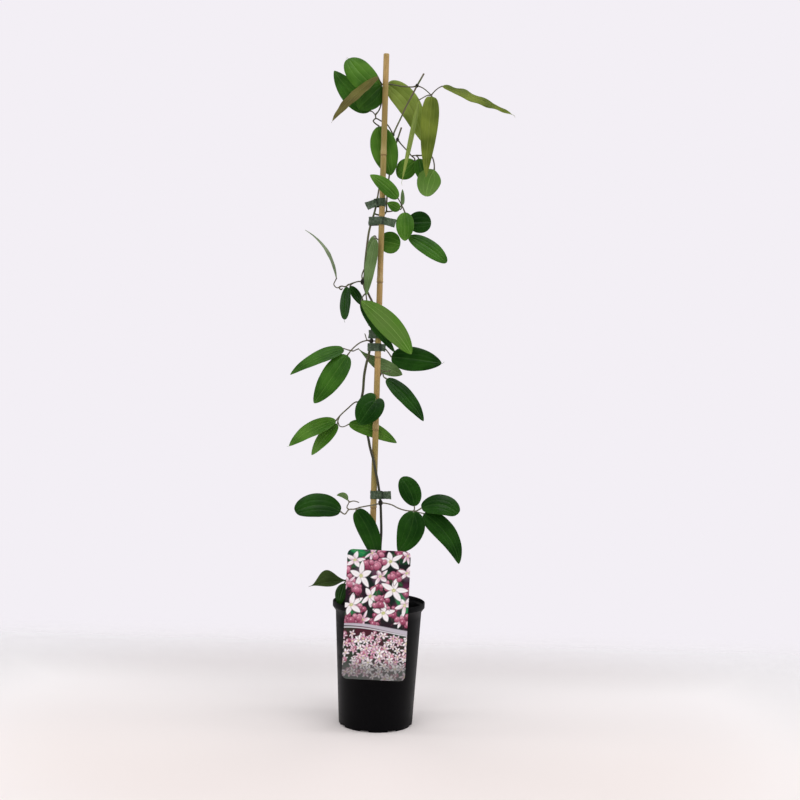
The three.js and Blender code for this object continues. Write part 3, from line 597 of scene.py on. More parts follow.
pebble = ball((0, 0, 0), (1, 1, 1), 5, 7)
knobs = waves(pebble["points"][None] + chance.uniform(0, 99, (count, 1, 3)), 1.4, 4)
shapes = pebble["points"] * (1 + 0.28 * knobs[..., None])
length = 0.9 + 4.2 * chance.beta(1.3, 4, count)
width, thickness = chance.uniform(0.35, 0.8, count), chance.uniform(0.2, 0.5, count)
sizes = length[:, None] * np.column_stack([np.ones(count), width, thickness])
spin = chance.uniform(0, 2 * np.pi, count)
tilt = chance.normal(0, 0.3, count)
shapes = shapes * sizes[:, None]
tilted_x, tilted_z = spun(shapes[..., 0], shapes[..., 2], tilt[:, None])
spun_x, spun_y = spun(tilted_x, shapes[..., 1], spin[:, None])
shapes = np.stack([
    crumb_x[:, None] + spun_x,
    crumb_y[:, None] + spun_y,
    compost_height(crumb_x, crumb_y)[:, None] + 0.25 * sizes[:, 2:] + tilted_z,
], axis=-1)
within = np.hypot(shapes[..., 0], shapes[..., 1]).max(axis=1) < SOIL_RADIUS - 0.2
tones = chance.uniform(0, 1, count)
crumbs = put_mesh("bark_crumbs", [
    surface(shape, pebble["quads"], pebble["triangles"], {"tone": np.full(len(shape), tone)})
    for shape, tone in zip(shapes[within], tones[within])
])
print("crumbs:", int(within.sum()))

# %% The compost's finish
paint = Paint("peat")
clod = paint.noise(paint.place(), 180, 5.0, 0.7)
fibre = paint.noise(paint.place((1, 3, 1)), 500, 3.0)
colour = paint.blend(paint.step(clod, 0.3, 0.75), (30, 21, 15), (74, 56, 41))
bump = paint.relief(0.6 * clod + 0.4 * fibre, 0.0008, 0.9)
peat = paint.finish(Base_Color=colour, Roughness=0.85 + 0.1 * fibre, Normal=bump)
settle(compost, peat, "soil", "potting_soil")

paint = Paint("bark")
grain = paint.noise(paint.place((1, 1, 4)), 420, 4.0, 0.65)
shade = paint.blend(paint.mark("tone"), (48, 32, 22), (118, 88, 62))
colour = paint.blend(paint.step(grain, 0.4, 0.7), shade, (40, 27, 19))
bark = paint.finish(Base_Color=colour, Roughness=0.8 + 0.15 * grain, Normal=paint.relief(grain, 0.0004, 0.7))
settle(crumbs, bark, "soil")
print("finishes:", peat.name, "and", bark.name)

# %% [markdown]
# ## The bamboo cane
#
# A thin cane has a ring every ten centimetres or so, where a sheath once sat: a groove, a sharp ridge
# above it and a soft swelling. Between rings it is nearly straight. A modelled cylinder with rings
# placed as extra pieces would show seams. Instead the radius is one function of height, the sum of a
# slow taper and three bell curves at each ring, and stations are denser where that function moves.

# %% The cane's shape
CANE_FOOT = POT_FLOOR + 0.35
CANE_TOP = 902
CANE_RADIUS_LOW, CANE_RADIUS_HIGH = 4.25, 3.9
CANE_RINGS = [72, 155, 222, 290, 395, 493, 594, 766]
CANE_CORNERS = 40
CANE_CUT = [(CANE_RADIUS_HIGH - 0.5, CANE_TOP), (1.5, CANE_TOP), (1.3, CANE_TOP - 4), (0.1, CANE_TOP - 4)]


def cane_radius(height):
    """Taper, and at each ring a groove below, a sharp ridge and a soft swelling above."""
    taper = CANE_RADIUS_LOW + (CANE_RADIUS_HIGH - CANE_RADIUS_LOW) * height / CANE_TOP
    away = height[:, None] - np.array(CANE_RINGS)
    rings = 0.5 * bell(away, 0.9) + 0.3 * bell(away - 3.5, 2.6) - 0.3 * bell(away + 1.9, 0.8)
    return taper - 0.05 + rings.sum(axis=1)


near_rings = (np.array(CANE_RINGS)[:, None] + np.arange(-5, 9, 0.5)).ravel()
heights = np.unique(np.concatenate([np.arange(CANE_FOOT, CANE_TOP - 0.8, 4), near_rings, [CANE_TOP - 0.8]]))
cane_path = np.column_stack([np.full(len(heights), float(CANE_X)), np.zeros(len(heights)), heights])
cane_reach = cane_radius(heights) * (1 + 0.006 * waves(cane_path, 60, 5))
cane_section = np.vstack([np.column_stack([cane_reach, heights]), CANE_CUT])
cane_heights = cane_section[:, 1]
cane_rings = turned_rings(cane_section, CANE_CORNERS)
cane_rings[..., :2] *= 1 + 0.018 * np.cos(2 * full_turn(CANE_CORNERS) + 0.7)[:, None]  # slightly oval
cane_rings[..., 0] += CANE_X
ring_away = cane_heights[:, None] - np.array(CANE_RINGS)
cane = put_mesh("cane", [skin(
    cane_rings,
    ridge=np.clip(bell(ring_away + 1.0, 1.6).sum(axis=1), 0, 1)[:, None],
    waxy=np.clip(bell(ring_away - 5, 7).sum(axis=1), 0, 1)[:, None],
    cut_end=(np.arange(len(cane_heights)) >= len(heights)).astype(float)[:, None],
)], smooth_angle=50)
print("cane stations:", len(cane_heights))

# %% [markdown]
# ## Bamboo skin
#
# The skin is straw-coloured and satin, with fine fibres that run its whole length, long stains of olive
# and tan, dark sheath scars at the rings and a few black specks. A wood picture wrapped round it would
# show its seam. Here every streak is the same kind of noise, stretched upright by a different amount.

# %% The cane's finish
paint = Paint("bamboo skin")
fibre = paint.noise(paint.place((1, 1, 0.012)), 2600, 3.0)
stain = paint.noise(paint.place((1, 1, 0.11)), 130, 4.0, 0.6)
olive = paint.step(paint.noise(paint.place((0.35, 0.35, 0.28)), 38, 3.0), 0.44, 0.64)
tan = paint.blend(stain, (196, 164, 104), (158, 120, 66))
colour = paint.blend(olive * 0.75, tan, (128, 122, 58))
colour = paint.blend(paint.step(fibre, 0.45, 0.8) * 0.35, colour, (120, 92, 48))
colour = paint.blend(paint.mark("waxy") * 0.3, colour, (206, 184, 134))
colour = paint.blend(paint.mark("ridge") * 0.5, colour, (112, 80, 44))
speck = paint.step(paint.cells(paint.place((1, 1, 0.6)), 95), 0.1, 0.045)
rare = paint.step(paint.noise(paint.place(), 35, 1.0), 0.55, 0.62)
colour = paint.blend(speck * rare * 0.9, colour, (45, 30, 20))
pith = paint.blend(paint.noise(paint.place(), 900), (214, 192, 148), (168, 138, 92))
colour = paint.blend(paint.mark("cut_end"), colour, pith)
rough = 0.42 + 0.14 * fibre + 0.3 * paint.mark("cut_end")
bamboo = paint.finish(Base_Color=colour, Roughness=rough, Normal=paint.relief(fibre, 0.0001, 0.6))
settle(cane, bamboo, "cane", "bamboo_cane")
print("finish:", bamboo.name)

# %% [markdown]
# ## The picture label
#
# The label is a punched plastic card with a strap at its back, which hooks over the rim. The card could
# be a bevelled box with an image on it. There is no image file here, so the card is a stack of level
# outlines whose front has a point every 0.6 mm, fine enough to hold a drawing as one colour for each
# point. The strap is one rectangle carried along a bent path.

# %% The card and its strap
LABEL_WIDTH, LABEL_HEIGHT, LABEL_THICKNESS = 82, 168, 0.8
LABEL_CORNER = 7
LABEL_MIDDLE = (-2, 156.5)
LABEL_TILT = math.radians(1.1)
LABEL_ROWS, LABEL_COLUMNS = 281, 137  # points on the front, 0.6 mm apart
LABEL_BOW = 0.5  # how far the corners stand back from the middle
HOOK_WIDTH, HOOK_DROP, HOOK_BEND = 20, 18, 2
HOOK_CLEARANCE = 2.2  # between the strap and the inside of the pot's wall
GAP = 0.35  # between pieces that rest on each other


def hang(spots):
    """Places on the label, (right, back, up) from the middle of its back, as places on the plant."""
    right, back, up = np.moveaxis(np.asarray(spots, float), -1, 0)
    right, up = spun(right, up, -LABEL_TILT)
    return np.stack([LABEL_MIDDLE[0] + right, -POT_RIM_RADIUS - GAP + back, LABEL_MIDDLE[1] + up], axis=-1)


card_up = np.linspace(-LABEL_HEIGHT / 2, LABEL_HEIGHT / 2, LABEL_ROWS)
into_corner = np.clip((np.abs(card_up) - LABEL_HEIGHT / 2 + LABEL_CORNER) / LABEL_CORNER, 0, 1)
card_half = LABEL_WIDTH / 2 - LABEL_CORNER * (1 - np.sqrt(1 - into_corner**2))
card_share = np.concatenate([np.linspace(-1, 1, LABEL_COLUMNS), [1, 0.5, -0.5, -1]])
card_back = np.concatenate([np.full(LABEL_COLUMNS, -LABEL_THICKNESS), np.zeros(4)])
card_right = card_half[:, None] * card_share
bow = LABEL_BOW * (card_right / (LABEL_WIDTH / 2)) ** 2 * (card_up[:, None] / (LABEL_HEIGHT / 2)) ** 2
card = np.stack([card_right, card_back + bow, card_up[:, None] + 0 * card_right], axis=-1)

over = POT_HEIGHT + GAP - LABEL_MIDDLE[1] + LABEL_THICKNESS / 2
inside = POT_RIM_RADIUS + GAP - (POT_NECK_RADIUS - POT_WALL) + HOOK_CLEARANCE + LABEL_THICKNESS / 2
strap_path = np.vstack([
    [[-0.4, over], [inside - 2 * HOOK_BEND, over]],
    corner((inside - HOOK_BEND, over - HOOK_BEND), HOOK_BEND, 90, 0, 8),
    [[inside, over - 2 * HOOK_BEND], [inside, over - HOOK_DROP]],
])
strap_ahead = unit(np.gradient(strap_path, axis=0))
strap_out = np.stack([-strap_ahead[:, 1], strap_ahead[:, 0]], axis=-1)
strap_corners = np.array([(-1, -1), (-1, 1), (1, 1), (1, -1)]) * (HOOK_WIDTH / 2, LABEL_THICKNESS / 2)
strap = np.empty((len(strap_path), 4, 3))
strap[..., 0] = strap_corners[:, 0]
strap[..., 1:] = strap_path[:, None] + strap_corners[:, 1, None] * strap_out[:, None]

label = put_mesh("hanging_label", [
    skin(hang(card), front=(card_back < 0).astype(float)[None]),
    skin(hang(strap), front=np.zeros((1, 4))),
], smooth_angle=40)
print("label points:", len(label.data.vertices))

# %% [markdown]
# ## The printed picture
#
# The print is a flower picture of the kind that any plant label has: star blossoms with five narrow
# petals, round buds in loose bunches, dark leaves behind, a pale curved band, and a second picture below
# that fades out. It could be drawn in another program and saved as an image. Here each shape is a
# distance in millimetres, negative inside. A soft step turns a distance into a mask, and the masks are
# laid over each other like cut paper, so the drawing stays part of the lesson.

# %% Shapes for the print
def inside_of(distance, blur=0.4):
    """1 inside a shape and 0 outside, across a soft edge of the given width."""
    return np.clip(0.5 - distance / (2 * blur), 0, 1)[:, None]


def lay(picture, mask, colour):
    """The picture with a colour laid over it where the mask is 1."""
    return picture + mask * (np.asarray(colour) - picture)


def between(first, second, share):
    """A colour that is the first where share is 0 and the second where it is 1."""
    return np.array(first) * (1 - share) + np.array(second) * share


def seen_from(place, centre, degrees):
    """How far places are from a centre, along a direction and across it."""
    return spun(*(place - centre).T, -math.radians(degrees))


def lens(along, across, length, width):
    """Distance to a petal or leaf: half its width is a sine over its length, drawn out at the tip."""
    share = np.clip(along / length, 0, 1)
    half = width / 2 * np.sin(np.pi * share**0.9) ** 0.7
    return np.maximum(np.abs(across) - half, np.abs(along - length / 2) - length / 2)


def blossom(picture, place, centre, reach, degrees, squash, blush, chance):
    """Five petals round a tuft of stamens, as seen from one side: the whole flower is squashed across
    its own upright. Each petal has its own length and turn, a shadow, a blush at its foot and a line."""
    white, pink = np.array(paint_colour(255, 250, 252)), np.array(paint_colour(214, 120, 168))
    along_view, across_view = seen_from(place, centre, degrees)
    flat = np.column_stack([along_view, across_view / squash])
    for petal in range(5):
        length = reach * chance.uniform(0.86, 1.1)
        along, across = seen_from(flat, (0, 0), 72 * petal + chance.normal(0, 7))
        across = across + chance.uniform(-0.1, 0.1) * along**2 / length
        shape = lens(along, across, length, reach * 0.42)
        picture = lay(picture, inside_of(shape - 0.7, 0.8) * 0.6, paint_colour(28, 10, 24))
        tint = np.clip(blush + 0.25 - along / length + across / reach * 1.2, 0, 1)[:, None]
        picture = lay(picture, inside_of(shape), white + tint * (pink - white))
        line = np.maximum(np.abs(across) - 0.12, np.abs(along - length * 0.45) - length * 0.3)
        picture = lay(picture, inside_of(line, 0.3) * 0.3, pink)
    away = np.hypot(*flat.T)
    picture = lay(picture, inside_of(away - reach * 0.14), paint_colour(196, 200, 120))
    spokes = np.abs(np.sin(4 * np.arctan2(*flat.T))) * away
    tuft = np.maximum(spokes - 0.5, away - reach * 0.24)
    return lay(picture, inside_of(tuft, 0.3), paint_colour(236, 230, 190))


def bud(picture, place, centre, size, degrees, ripe):
    """A round bud on a thin stalk, lit from above, with a small bright spot. Ripe ones are paler."""
    along, across = seen_from(place, centre, degrees)
    stalk = np.maximum(np.abs(across) - 0.3, np.abs(along + size * 1.8) - size * 1.8)
    picture = lay(picture, inside_of(stalk, 0.3), paint_colour(92, 50, 60))
    shape = np.hypot(along / 1.25, across) - size
    picture = lay(picture, inside_of(shape - 0.5, 0.6) * 0.6, paint_colour(40, 8, 26))
    lit = np.clip(0.45 + (place[:, 1] - centre[1]) / size * 0.4, 0, 1)[:, None]
    dark = between(paint_colour(84, 8, 40), paint_colour(168, 52, 96), ripe)
    pale = between(paint_colour(196, 78, 120), paint_colour(248, 186, 206), ripe)
    picture = lay(picture, inside_of(shape), between(dark, pale, lit))
    shine = np.hypot(*(place - centre - (-size * 0.3, size * 0.4)).T) - size * 0.22
    return lay(picture, inside_of(shine, 0.3) * 0.8, paint_colour(250, 214, 228))


def leaf_shape(picture, place, centre, length, width, degrees, colour):
    """A dim leaf behind the blossoms, with a paler midrib."""
    along, across = seen_from(place, centre, degrees)
    picture = lay(picture, inside_of(lens(along, across, length, width), 1.2), colour)
    rib = np.maximum(np.abs(across) - 0.25, np.abs(along - length / 2) - length * 0.42)
    return lay(picture, inside_of(rib, 0.5) * 0.3, paint_colour(150, 190, 120))


print("shapes for the print are ready")

# %% The picture, from back to front
BLOSSOMS = [  # right, up, reach, degrees, squash, blush
    (-9, 80, 12, 50, 0.6, 0.6), (37, 78, 12, 80, 0.6, 0.6), (-39, 40, 13, 44, 0.6, 0.7),
    (3, 50, 14, 35, 0.7, 0.5), (37, 56, 14, 20, 0.65, 0.4), (-17, -7, 13, 70, 0.6, 0.6),
    (33, -6, 13, 40, 0.6, 0.5), (-31, 70, 15, 12, 0.75, 0.3), (15, 70, 17, 30, 0.8, 0.0),
    (-22, 50, 18, 100, 0.85, 0.0), (36, 14, 15, 64, 0.7, 0.3), (-9, 24, 16, 60, 0.75, 0.2),
    (-33, 12, 17, 30, 0.8, 0.1), (21, 33, 18, 5, 0.85, 0.0), (9, 3, 17, 14, 0.8, 0.0),
]
BUD_BUNCHES = [  # right, up, buds
    (-14, 64, 9), (26, 54, 8), (-38, 60, 6), (4, 34, 9), (-28, 32, 9), (40, 32, 8), (12, 18, 8),
    (-20, 8, 10), (22, 4, 10), (-39, -4, 8), (2, 82, 7), (40, -2, 6), (-2, -9, 8), (24, 82, 5),
]
FRONT_BUNCHES = [(-26, 33), (22, 54), (2, 17), (-28, -7), (37, -4), (-2, 67)]  # right, up
LEAF_SHAPES = [  # right, up, length, width, degrees
    (-44, 60, 34, 13, 30), (-38, 84, 26, 9, -15), (40, 4, 34, 12, 120), (-6, 10, 30, 10, 75),
    (8, 56, 30, 11, -35), (-40, -2, 30, 11, 40), (42, 70, 30, 14, 160), (4, 84, 26, 12, 200),
    (-36, -50, 24, 8, 20), (12, -50, 24, 8, 60), (38, -56, 22, 8, 120),
]
FAR_OFF_BLOSSOMS = 20
BUDS_IN_FRONT = 7  # in each bunch
BAND_UP = -20
FADE_FROM, FADE_OVER = -54, 16  # up, where the lower picture starts to fade, and how far down it takes
small_right, small_up = np.meshgrid(np.linspace(-39, 39, 10), np.linspace(-79, -28, 8))
SMALL_BLOSSOMS = np.stack([small_right, small_up], axis=-1).reshape(-1, 2)


def upper_picture(picture, place, chance):
    """Large blossoms and buds over dark leaves, with more of them far behind and out of focus."""
    far_off = [paint_colour(112, 34, 78), paint_colour(128, 100, 122), paint_colour(10, 88, 62)]
    for spot in range(FAR_OFF_BLOSSOMS):
        centre = chance.uniform((-42, -16), (42, 84))
        away = np.hypot(*(place - centre).T) - chance.uniform(3, 8)
        picture = lay(picture, inside_of(away, 3.5) * 0.6, far_off[spot % 3])
    for right, up, length, width, degrees in LEAF_SHAPES:
        green = paint_colour(*(np.array([30, 118, 66]) * chance.uniform(0.45, 1.2)))
        picture = leaf_shape(picture, place, (right, up), length, width, degrees, green)
    for right, up, buds in BUD_BUNCHES:
        for _ in range(buds):
            spot = (right + chance.normal(0, 4.6), up + chance.normal(0, 3.8))
            picture = bud(picture, place, spot, chance.uniform(1.9, 3.7),
                          chance.uniform(30, 150), chance.uniform())
    for right, up, reach, degrees, squash, blush in BLOSSOMS:
        picture = blossom(picture, place, (right, up), reach, degrees, squash, blush, chance)
    for right, up in FRONT_BUNCHES:
        for _ in range(BUDS_IN_FRONT):
            spot = (right + chance.normal(0, 4.4), up + chance.normal(0, 3))
            picture = bud(picture, place, spot, chance.uniform(2.6, 4),
                          chance.uniform(30, 150), chance.uniform(0.2, 1))
    return picture


def lower_picture(picture, place, chance):
    """A bank of small blossoms and buds."""
    for spot in chance.permutation(SMALL_BLOSSOMS) + chance.uniform(-3.5, 3.5, SMALL_BLOSSOMS.shape):
        if chance.uniform() < 0.6:
            picture = bud(picture, place, spot + 3, chance.uniform(1.6, 2.8),
                          chance.uniform(40, 140), chance.uniform())
        picture = blossom(picture, place, spot, chance.uniform(5, 8), chance.uniform(0, 360),
                          chance.uniform(0.6, 0.95), chance.uniform(0.1, 0.95), chance)
    return picture


def printed_picture(place):
    """The colour at each place [right, up] on the card's front: the two pictures, the pale band between
    them and its thin line, and the fade at the foot."""
    deep = np.stack([place[:, 0], 0 * place[:, 0], place[:, 1]], axis=-1)
    mix = np.clip(0.5 + 0.9 * waves(deep, 30, 6) + 0.5 * waves(deep, 9, 7), 0, 1)[:, None]
    chance = np.random.default_rng(4)
    picture = upper_picture(between(paint_colour(34, 6, 26), paint_colour(4, 30, 22), mix), place, chance)
    ground = between(paint_colour(70, 14, 34), paint_colour(22, 56, 32), mix)
    band = place[:, 1] - BAND_UP + 5 * np.sin(place[:, 0] / 30 - 0.6)
    picture = lay(picture, inside_of(band - 0.5, 0.6), ground)
    picture = lay(picture, inside_of(band + 3.2, 0.6), lower_picture(ground, place, chance))
    pale_band = np.abs(band - 1.8) - 2.1 - 0.02 * place[:, 0]
    picture = lay(picture, inside_of(pale_band, 0.5), paint_colour(196, 188, 200))
    picture = lay(picture, inside_of(np.abs(band + 1.9) - 0.6, 0.4), paint_colour(236, 232, 238))
    faded = np.clip((FADE_FROM - place[:, 1]) / FADE_OVER, 0, 1)[:, None] * 0.72
    return np.clip(lay(picture, faded, paint_colour(88, 92, 90)), 0, 1)


on_card = card[..., [0, 2]].reshape(-1, 2)
not_on_card = np.zeros((len(label.data.vertices) - len(on_card), 2))  # the strap, and the card's ends
print_colours = printed_picture(np.vstack([on_card, not_on_card]))
print_rgba = np.column_stack([print_colours, np.ones(len(print_colours))]).astype(np.float32)
label.data.attributes.new("print", "FLOAT_COLOR", "POINT").data.foreach_set("color", print_rgba.ravel())
print("printed points:", len(print_colours), "brightest", round(float(print_colours.max()), 2))

# %% [markdown]
# ## Printed plastic
#
# The print lies under a thin glossy film that has bowed a little and caught fine scratches, and the back
# is bare white plastic. A picture alone would look like paper. So the print is only the colour, and the
# film is a soft wave in roughness and bump over it.

# %% The label's finish
paint = Paint("printed plastic card")
ink = paint.node("ShaderNodeAttribute", {"attribute_name": "print"}, (), "Color")
dots = paint.noise(paint.place(), 2500, 2.0)
ink = paint.blend(dots * 0.05, ink, (120, 110, 120))
bare = paint.blend(paint.noise(paint.place(), 60), (226, 224, 220), (206, 206, 200))
colour = paint.blend(paint.mark("front"), bare, ink)
film = paint.noise(paint.place(), 45, 3.0)
scratch = paint.step(paint.noise(paint.place((1, 1, 9)), 260, 3.0), 0.62, 0.72)
rough = 0.24 + 0.12 * film + 0.16 * scratch
card_finish = paint.finish(Base_Color=colour, Roughness=rough, Normal=paint.relief(film, 0.0006, 0.25),
                           IOR=1.48, Specular_IOR_Level=0.25)
settle(label, card_finish, "label", "picture_label")
print("finish:", card_finish.name)

# %% [markdown]
# ## Tape ties
#
# A tying gun leaves a loop of soft stretch tape with its two ends pinched together, so they stand out
# as a small double flag. A loop could be a cylinder that is squeezed. The outline round two circles is
# easy to write down instead: an arc of each circle, joined by tangents. A flat section is carried round
# it for the loop, and two thin strips that part at their ends make the flag.

# %% Loops and flags
TAPE_HEIGHT = 11
LOOP_THICKNESS, STRIP_THICKNESS = 0.5, 0.42
LOOP_STATIONS, STRIP_STATIONS = 96, 16
PLAIN_ABOVE = 200.5  # this far above each tie, the cane is clear of its rings and has its plain radius
STEM_RADIUS_LOW = 1.75
STEM_RADIUS_MIDDLE = 1.45
# low is a tie's lower edge, stem the circle (x, y, radius) that it holds, and root where its flag starts.
TIES = {
    "low": dict(low=301.2, height=TAPE_HEIGHT, stem=(-3.2, -1.9, STEM_RADIUS_LOW + 1),
                root=(0, -3.7), length=12.6, trim=0.6, droop=-3, heading=-8),
    "bunch_low": dict(low=500.4, height=TAPE_HEIGHT - 0.5, stem=(-21, 0.4, STEM_RADIUS_LOW + 1.4),
                      root=(-7.8, -3.8), length=7, trim=1, droop=6, heading=-10),
    "bunch_high": dict(low=517.6, height=TAPE_HEIGHT, stem=(-20.2, 0, STEM_RADIUS_MIDDLE + 1.6),
                       root=(-7.8, -3.8), length=6, trim=1.5, droop=-6, heading=-10),
    "high": dict(low=671, height=TAPE_HEIGHT, stem=(-24.8, 5.7, STEM_RADIUS_MIDDLE + 1.5),
                 root=(-9.6, -4.8), length=18, trim=0.6, droop=14, heading=-6),
    "top": dict(low=696, height=TAPE_HEIGHT, stem=(-19, 6, STEM_RADIUS_MIDDLE + 1.2),
                root=(-17, -1.6), length=17, trim=1, droop=24, heading=197),
}


def wrap(first, second, offset, stations):
    """Evenly spaced places round two circles (x, y, radius), at a distance from both. The arcs meet the
    tangents at the angle whose cosine is the difference of the radii over the distance."""
    (x1, y1, r1), (x2, y2, r2) = first, second
    toward = math.atan2(y2 - y1, x2 - x1)
    meet = math.acos((r1 - r2) / math.hypot(x2 - x1, y2 - y1))
    far_arc = np.linspace(toward + meet, toward - meet + 2 * np.pi, 60)
    near_arc = np.linspace(toward - meet, toward + meet, 60)
    outline = np.vstack([on_circle((x1, y1), r1 + offset, far_arc),
                         on_circle((x2, y2), r2 + offset, near_arc)])
    outline = np.vstack([outline, outline[:1]])
    gone = travelled(outline)
    even = np.linspace(0, gone[-1], stations, endpoint=False)
    places = np.column_stack([np.interp(even, gone, outline[:, axis]) for axis in (0, 1)])
    return places, even


def tape_section(height, thickness, steps=9):
    """A flat section [out, up] with steps points up each side: in, over the top, out, and down."""
    up = np.linspace(0, height, steps)
    return np.vstack([np.column_stack([0 * up, up]), np.column_stack([0 * up + thickness, up[::-1]])])


def tie_surfaces(low, height, stem, root, length, trim, droop, heading, seed):
    """A loop round cane and stem, pushed outwards by creases, and the two strips of its flag. A strip
    leaves its root at a heading and a droop in degrees. It parts from the other one as a power of the
    distance, curls as the square of it, and is creased too."""
    cane_circle = (CANE_X, 0, float(cane_radius(np.array([low + PLAIN_ABOVE]))[0]))
    middle, gone = wrap(cane_circle, stem, GAP + 0.05, LOOP_STATIONS)
    ahead = unit(np.roll(middle, -1, axis=0) - np.roll(middle, 1, axis=0))
    outward = np.stack([ahead[:, 1], -ahead[:, 0]], axis=-1)
    section = tape_section(height, LOOP_THICKNESS)
    loop = np.empty((len(middle), len(section), 3))
    loop[..., :2] = middle[:, None] + section[:, 0, None] * outward[:, None]
    skew = 0.35 * np.sin(2 * np.pi * gone / gone[-1] + seed)
    loop[..., 2] = low + section[:, 1] + skew[:, None] * (section[:, 1] / height - 0.5)
    crease = 0.6 * waves(loop * (1, 1, 0.5), 5, seed) + 0.3 * waves(loop, 2.6, seed + 1)
    loop[..., :2] += np.clip(crease, -0.25, 1.0)[..., None] * outward[:, None]
    pieces = [skin(loop, loop=True, run=gone[:, None], rise=section[None, :, 1], flag=np.zeros((1, 1)))]

    turn, fall = math.radians(heading), math.radians(droop)
    out = np.linspace(-0.4, length, STRIP_STATIONS)[:, None]
    share = np.clip(out / length, 0, 1)
    part = 0.02 + 0.75 * share**2.2
    curl = 1.6 * share**2 * math.sin(seed * 2.1)
    section = tape_section(height - trim, STRIP_THICKNESS)
    strip_up = (section[:, 1] - (height - trim) / 2) * (1 + 0.1 * share**3)
    strip_up = strip_up + 0.12 * np.sin(out * 1.4 + seed)
    strip_place = np.stack([out + 0 * strip_up, 0 * strip_up, strip_up], axis=-1)
    crease = 0.8 * part**0.5 * waves(strip_place, 6, seed)
    along, up = spun(out, strip_up, -fall)
    for side in (-1, 1):
        strip_out = side * part + (section[:, 0] - (STRIP_THICKNESS if side < 0 else 0)) + curl
        strip_out = strip_out + 0.3 * share * strip_up * math.cos(seed * 1.7) + crease
        x, y = spun(along, strip_out, turn)
        strip = np.stack([root[0] + x, root[1] + y, low + height / 2 + up], axis=-1)
        pieces.append(skin(strip[:, ::-1], run=out, rise=section[None, ::-1, 1], flag=np.ones((1, 1))))
    return pieces


tapes = {}
for seed, (tie, shape) in enumerate(TIES.items(), start=20):
    tapes[tie] = put_mesh(f"tape_{tie}", tie_surfaces(**shape, seed=seed), smooth_angle=50)
print("ties:", len(tapes))

# %% [markdown]
# ## Stretch tape
#
# Tying tape is thin green plastic that crinkles as it is pulled tight. One flat green would look like card.
# So the crinkles are noise drawn out along the tape, which gives their relief and also darkens and
# lightens the colour as painted light and shade. Pale patches of noise are a painted highlight, and
# painted shade darkens the tape towards the pinch where its ends meet, and a little all round the loop.

# %% The tape's finish
paint = Paint("stretch tape")
run, rise, flag = paint.mark("run"), paint.mark("rise"), paint.mark("flag")
along_tape = paint.node("ShaderNodeCombineXYZ", None, (run * 0.35, rise * 2.4, flag * 7))
crepe = paint.noise(along_tape, 1.6, 3.0)
mottle_and_highlight = paint.noise(paint.place(), 240, 3.0)
# painted light and shade of the crinkles: the crinkle noise also darkens and lightens the tape's colour
colour = paint.blend(paint.step(crepe, 0.3, 0.7), (40, 58, 38), (84, 104, 76))
# painted highlight: pale patches of noise laid over the tape's colour; the same noise also adds relief
colour = paint.blend(paint.step(mottle_and_highlight, 0.45, 0.7) * 0.5, colour, (116, 132, 108))
# painted shade: the flag darkens towards the pinch at its root, and the whole loop is a quarter darker
pinch_shade = flag * paint.step(run, 4.5, 0.5) * 0.75 + (1 - flag) * 0.25
colour = paint.blend(pinch_shade, colour, (24, 36, 22))
tape_finish = paint.finish(Base_Color=colour, Roughness=0.36 + 0.2 * crepe,
                           Normal=paint.relief(crepe + 0.8 * mottle_and_highlight, 0.0006, 0.7))
for tie, tape in tapes.items():
    settle(tape, tape_finish, "tape", f"tape_tie_{tie}")
print("finish:", tape_finish.name)

# %% [markdown]
# ## Stem and stalks
#
# The stem winds round the cane, and from each of its joints a pair of leaves grows on long, wiry stalks
# that bend, loop and hold on like fingers. They could grow from rules, but then no leaf would hang where
# the real one does. So each is a tube along a listed route. The stem has light ribs, and a stalk
# thickens where it leaves the stem and where its leaflets sit. All of them are one piece, because they
# grew as one, and they carry a mark for their age.

# %% Routes of the stem
STEM_LOW = [
    [STEM_X, 2, SOIL_TOP - ROOT_DEPTH], [4.6, 1, 130], [4, 0, 165], [1.6, 0, 200], [0, 0, 233],
    [0.6, -1, 255], [-0.4, -1, 278], [-1.6, -1, 296], [-2.9, -1.2, 306.5], [-4.4, -3.6, 316],
    [-6.5, -6, 327], [-9.5, -7.2, 340], [-12.8, -7, 354], [-16.2, -5, 365], [-18.3, -1.6, 372],
    [-20.2, 6, 380], [-23.5, 13, 392], [-28, 13, 412], [-32, 8, 430], [-29.7, 5, 447],
    [-28.8, 3.5, 466], [-26.6, 2, 481], [-23.2, 1, 496], [-20.2, 0, 514],
]

STEM_MIDDLE = [
    [-20.4, 0, 510], [-20, 0, 535], [-19.6, 1, 563], [-25.3, 3, 576], [-34, 4, 594], [-32.4, 4, 601],
    [-32, 5, 618], [-30, 6, 644], [-27.6, 6, 664], [-24.3, 5.5, 677], [-20.2, 5.5, 693], [-17.6, 6.5, 709],
]

STEM_HIGH = [
    [-18, 6.3, 706], [-16, 10, 722], [-12.5, 14, 740], [-7.6, 15.5, 755], [-1.5, 14, 782], [1.2, 12, 796],
    [11.7, 8, 820], [18.7, 6, 836], [25.6, 4, 849], [31.6, 2, 861], [36, 1, 869], [40.4, 0, 877],
]

SIDE_SHOOT = [
    [-21.6, 5.5, 687], [-16, 9.6, 686], [-9, 10.6, 686.4], [-5.4, 9.4, 691], [-5.2, 9, 702],
    [-4, 12, 727], [-1, 20, 756], [2.7, 20, 777], [7, 17, 791], [9.5, 16, 799], [12, 15, 807],
]

print("stem points:", len(STEM_LOW) + len(STEM_MIDDLE) + len(STEM_HIGH) + len(SIDE_SHOOT))

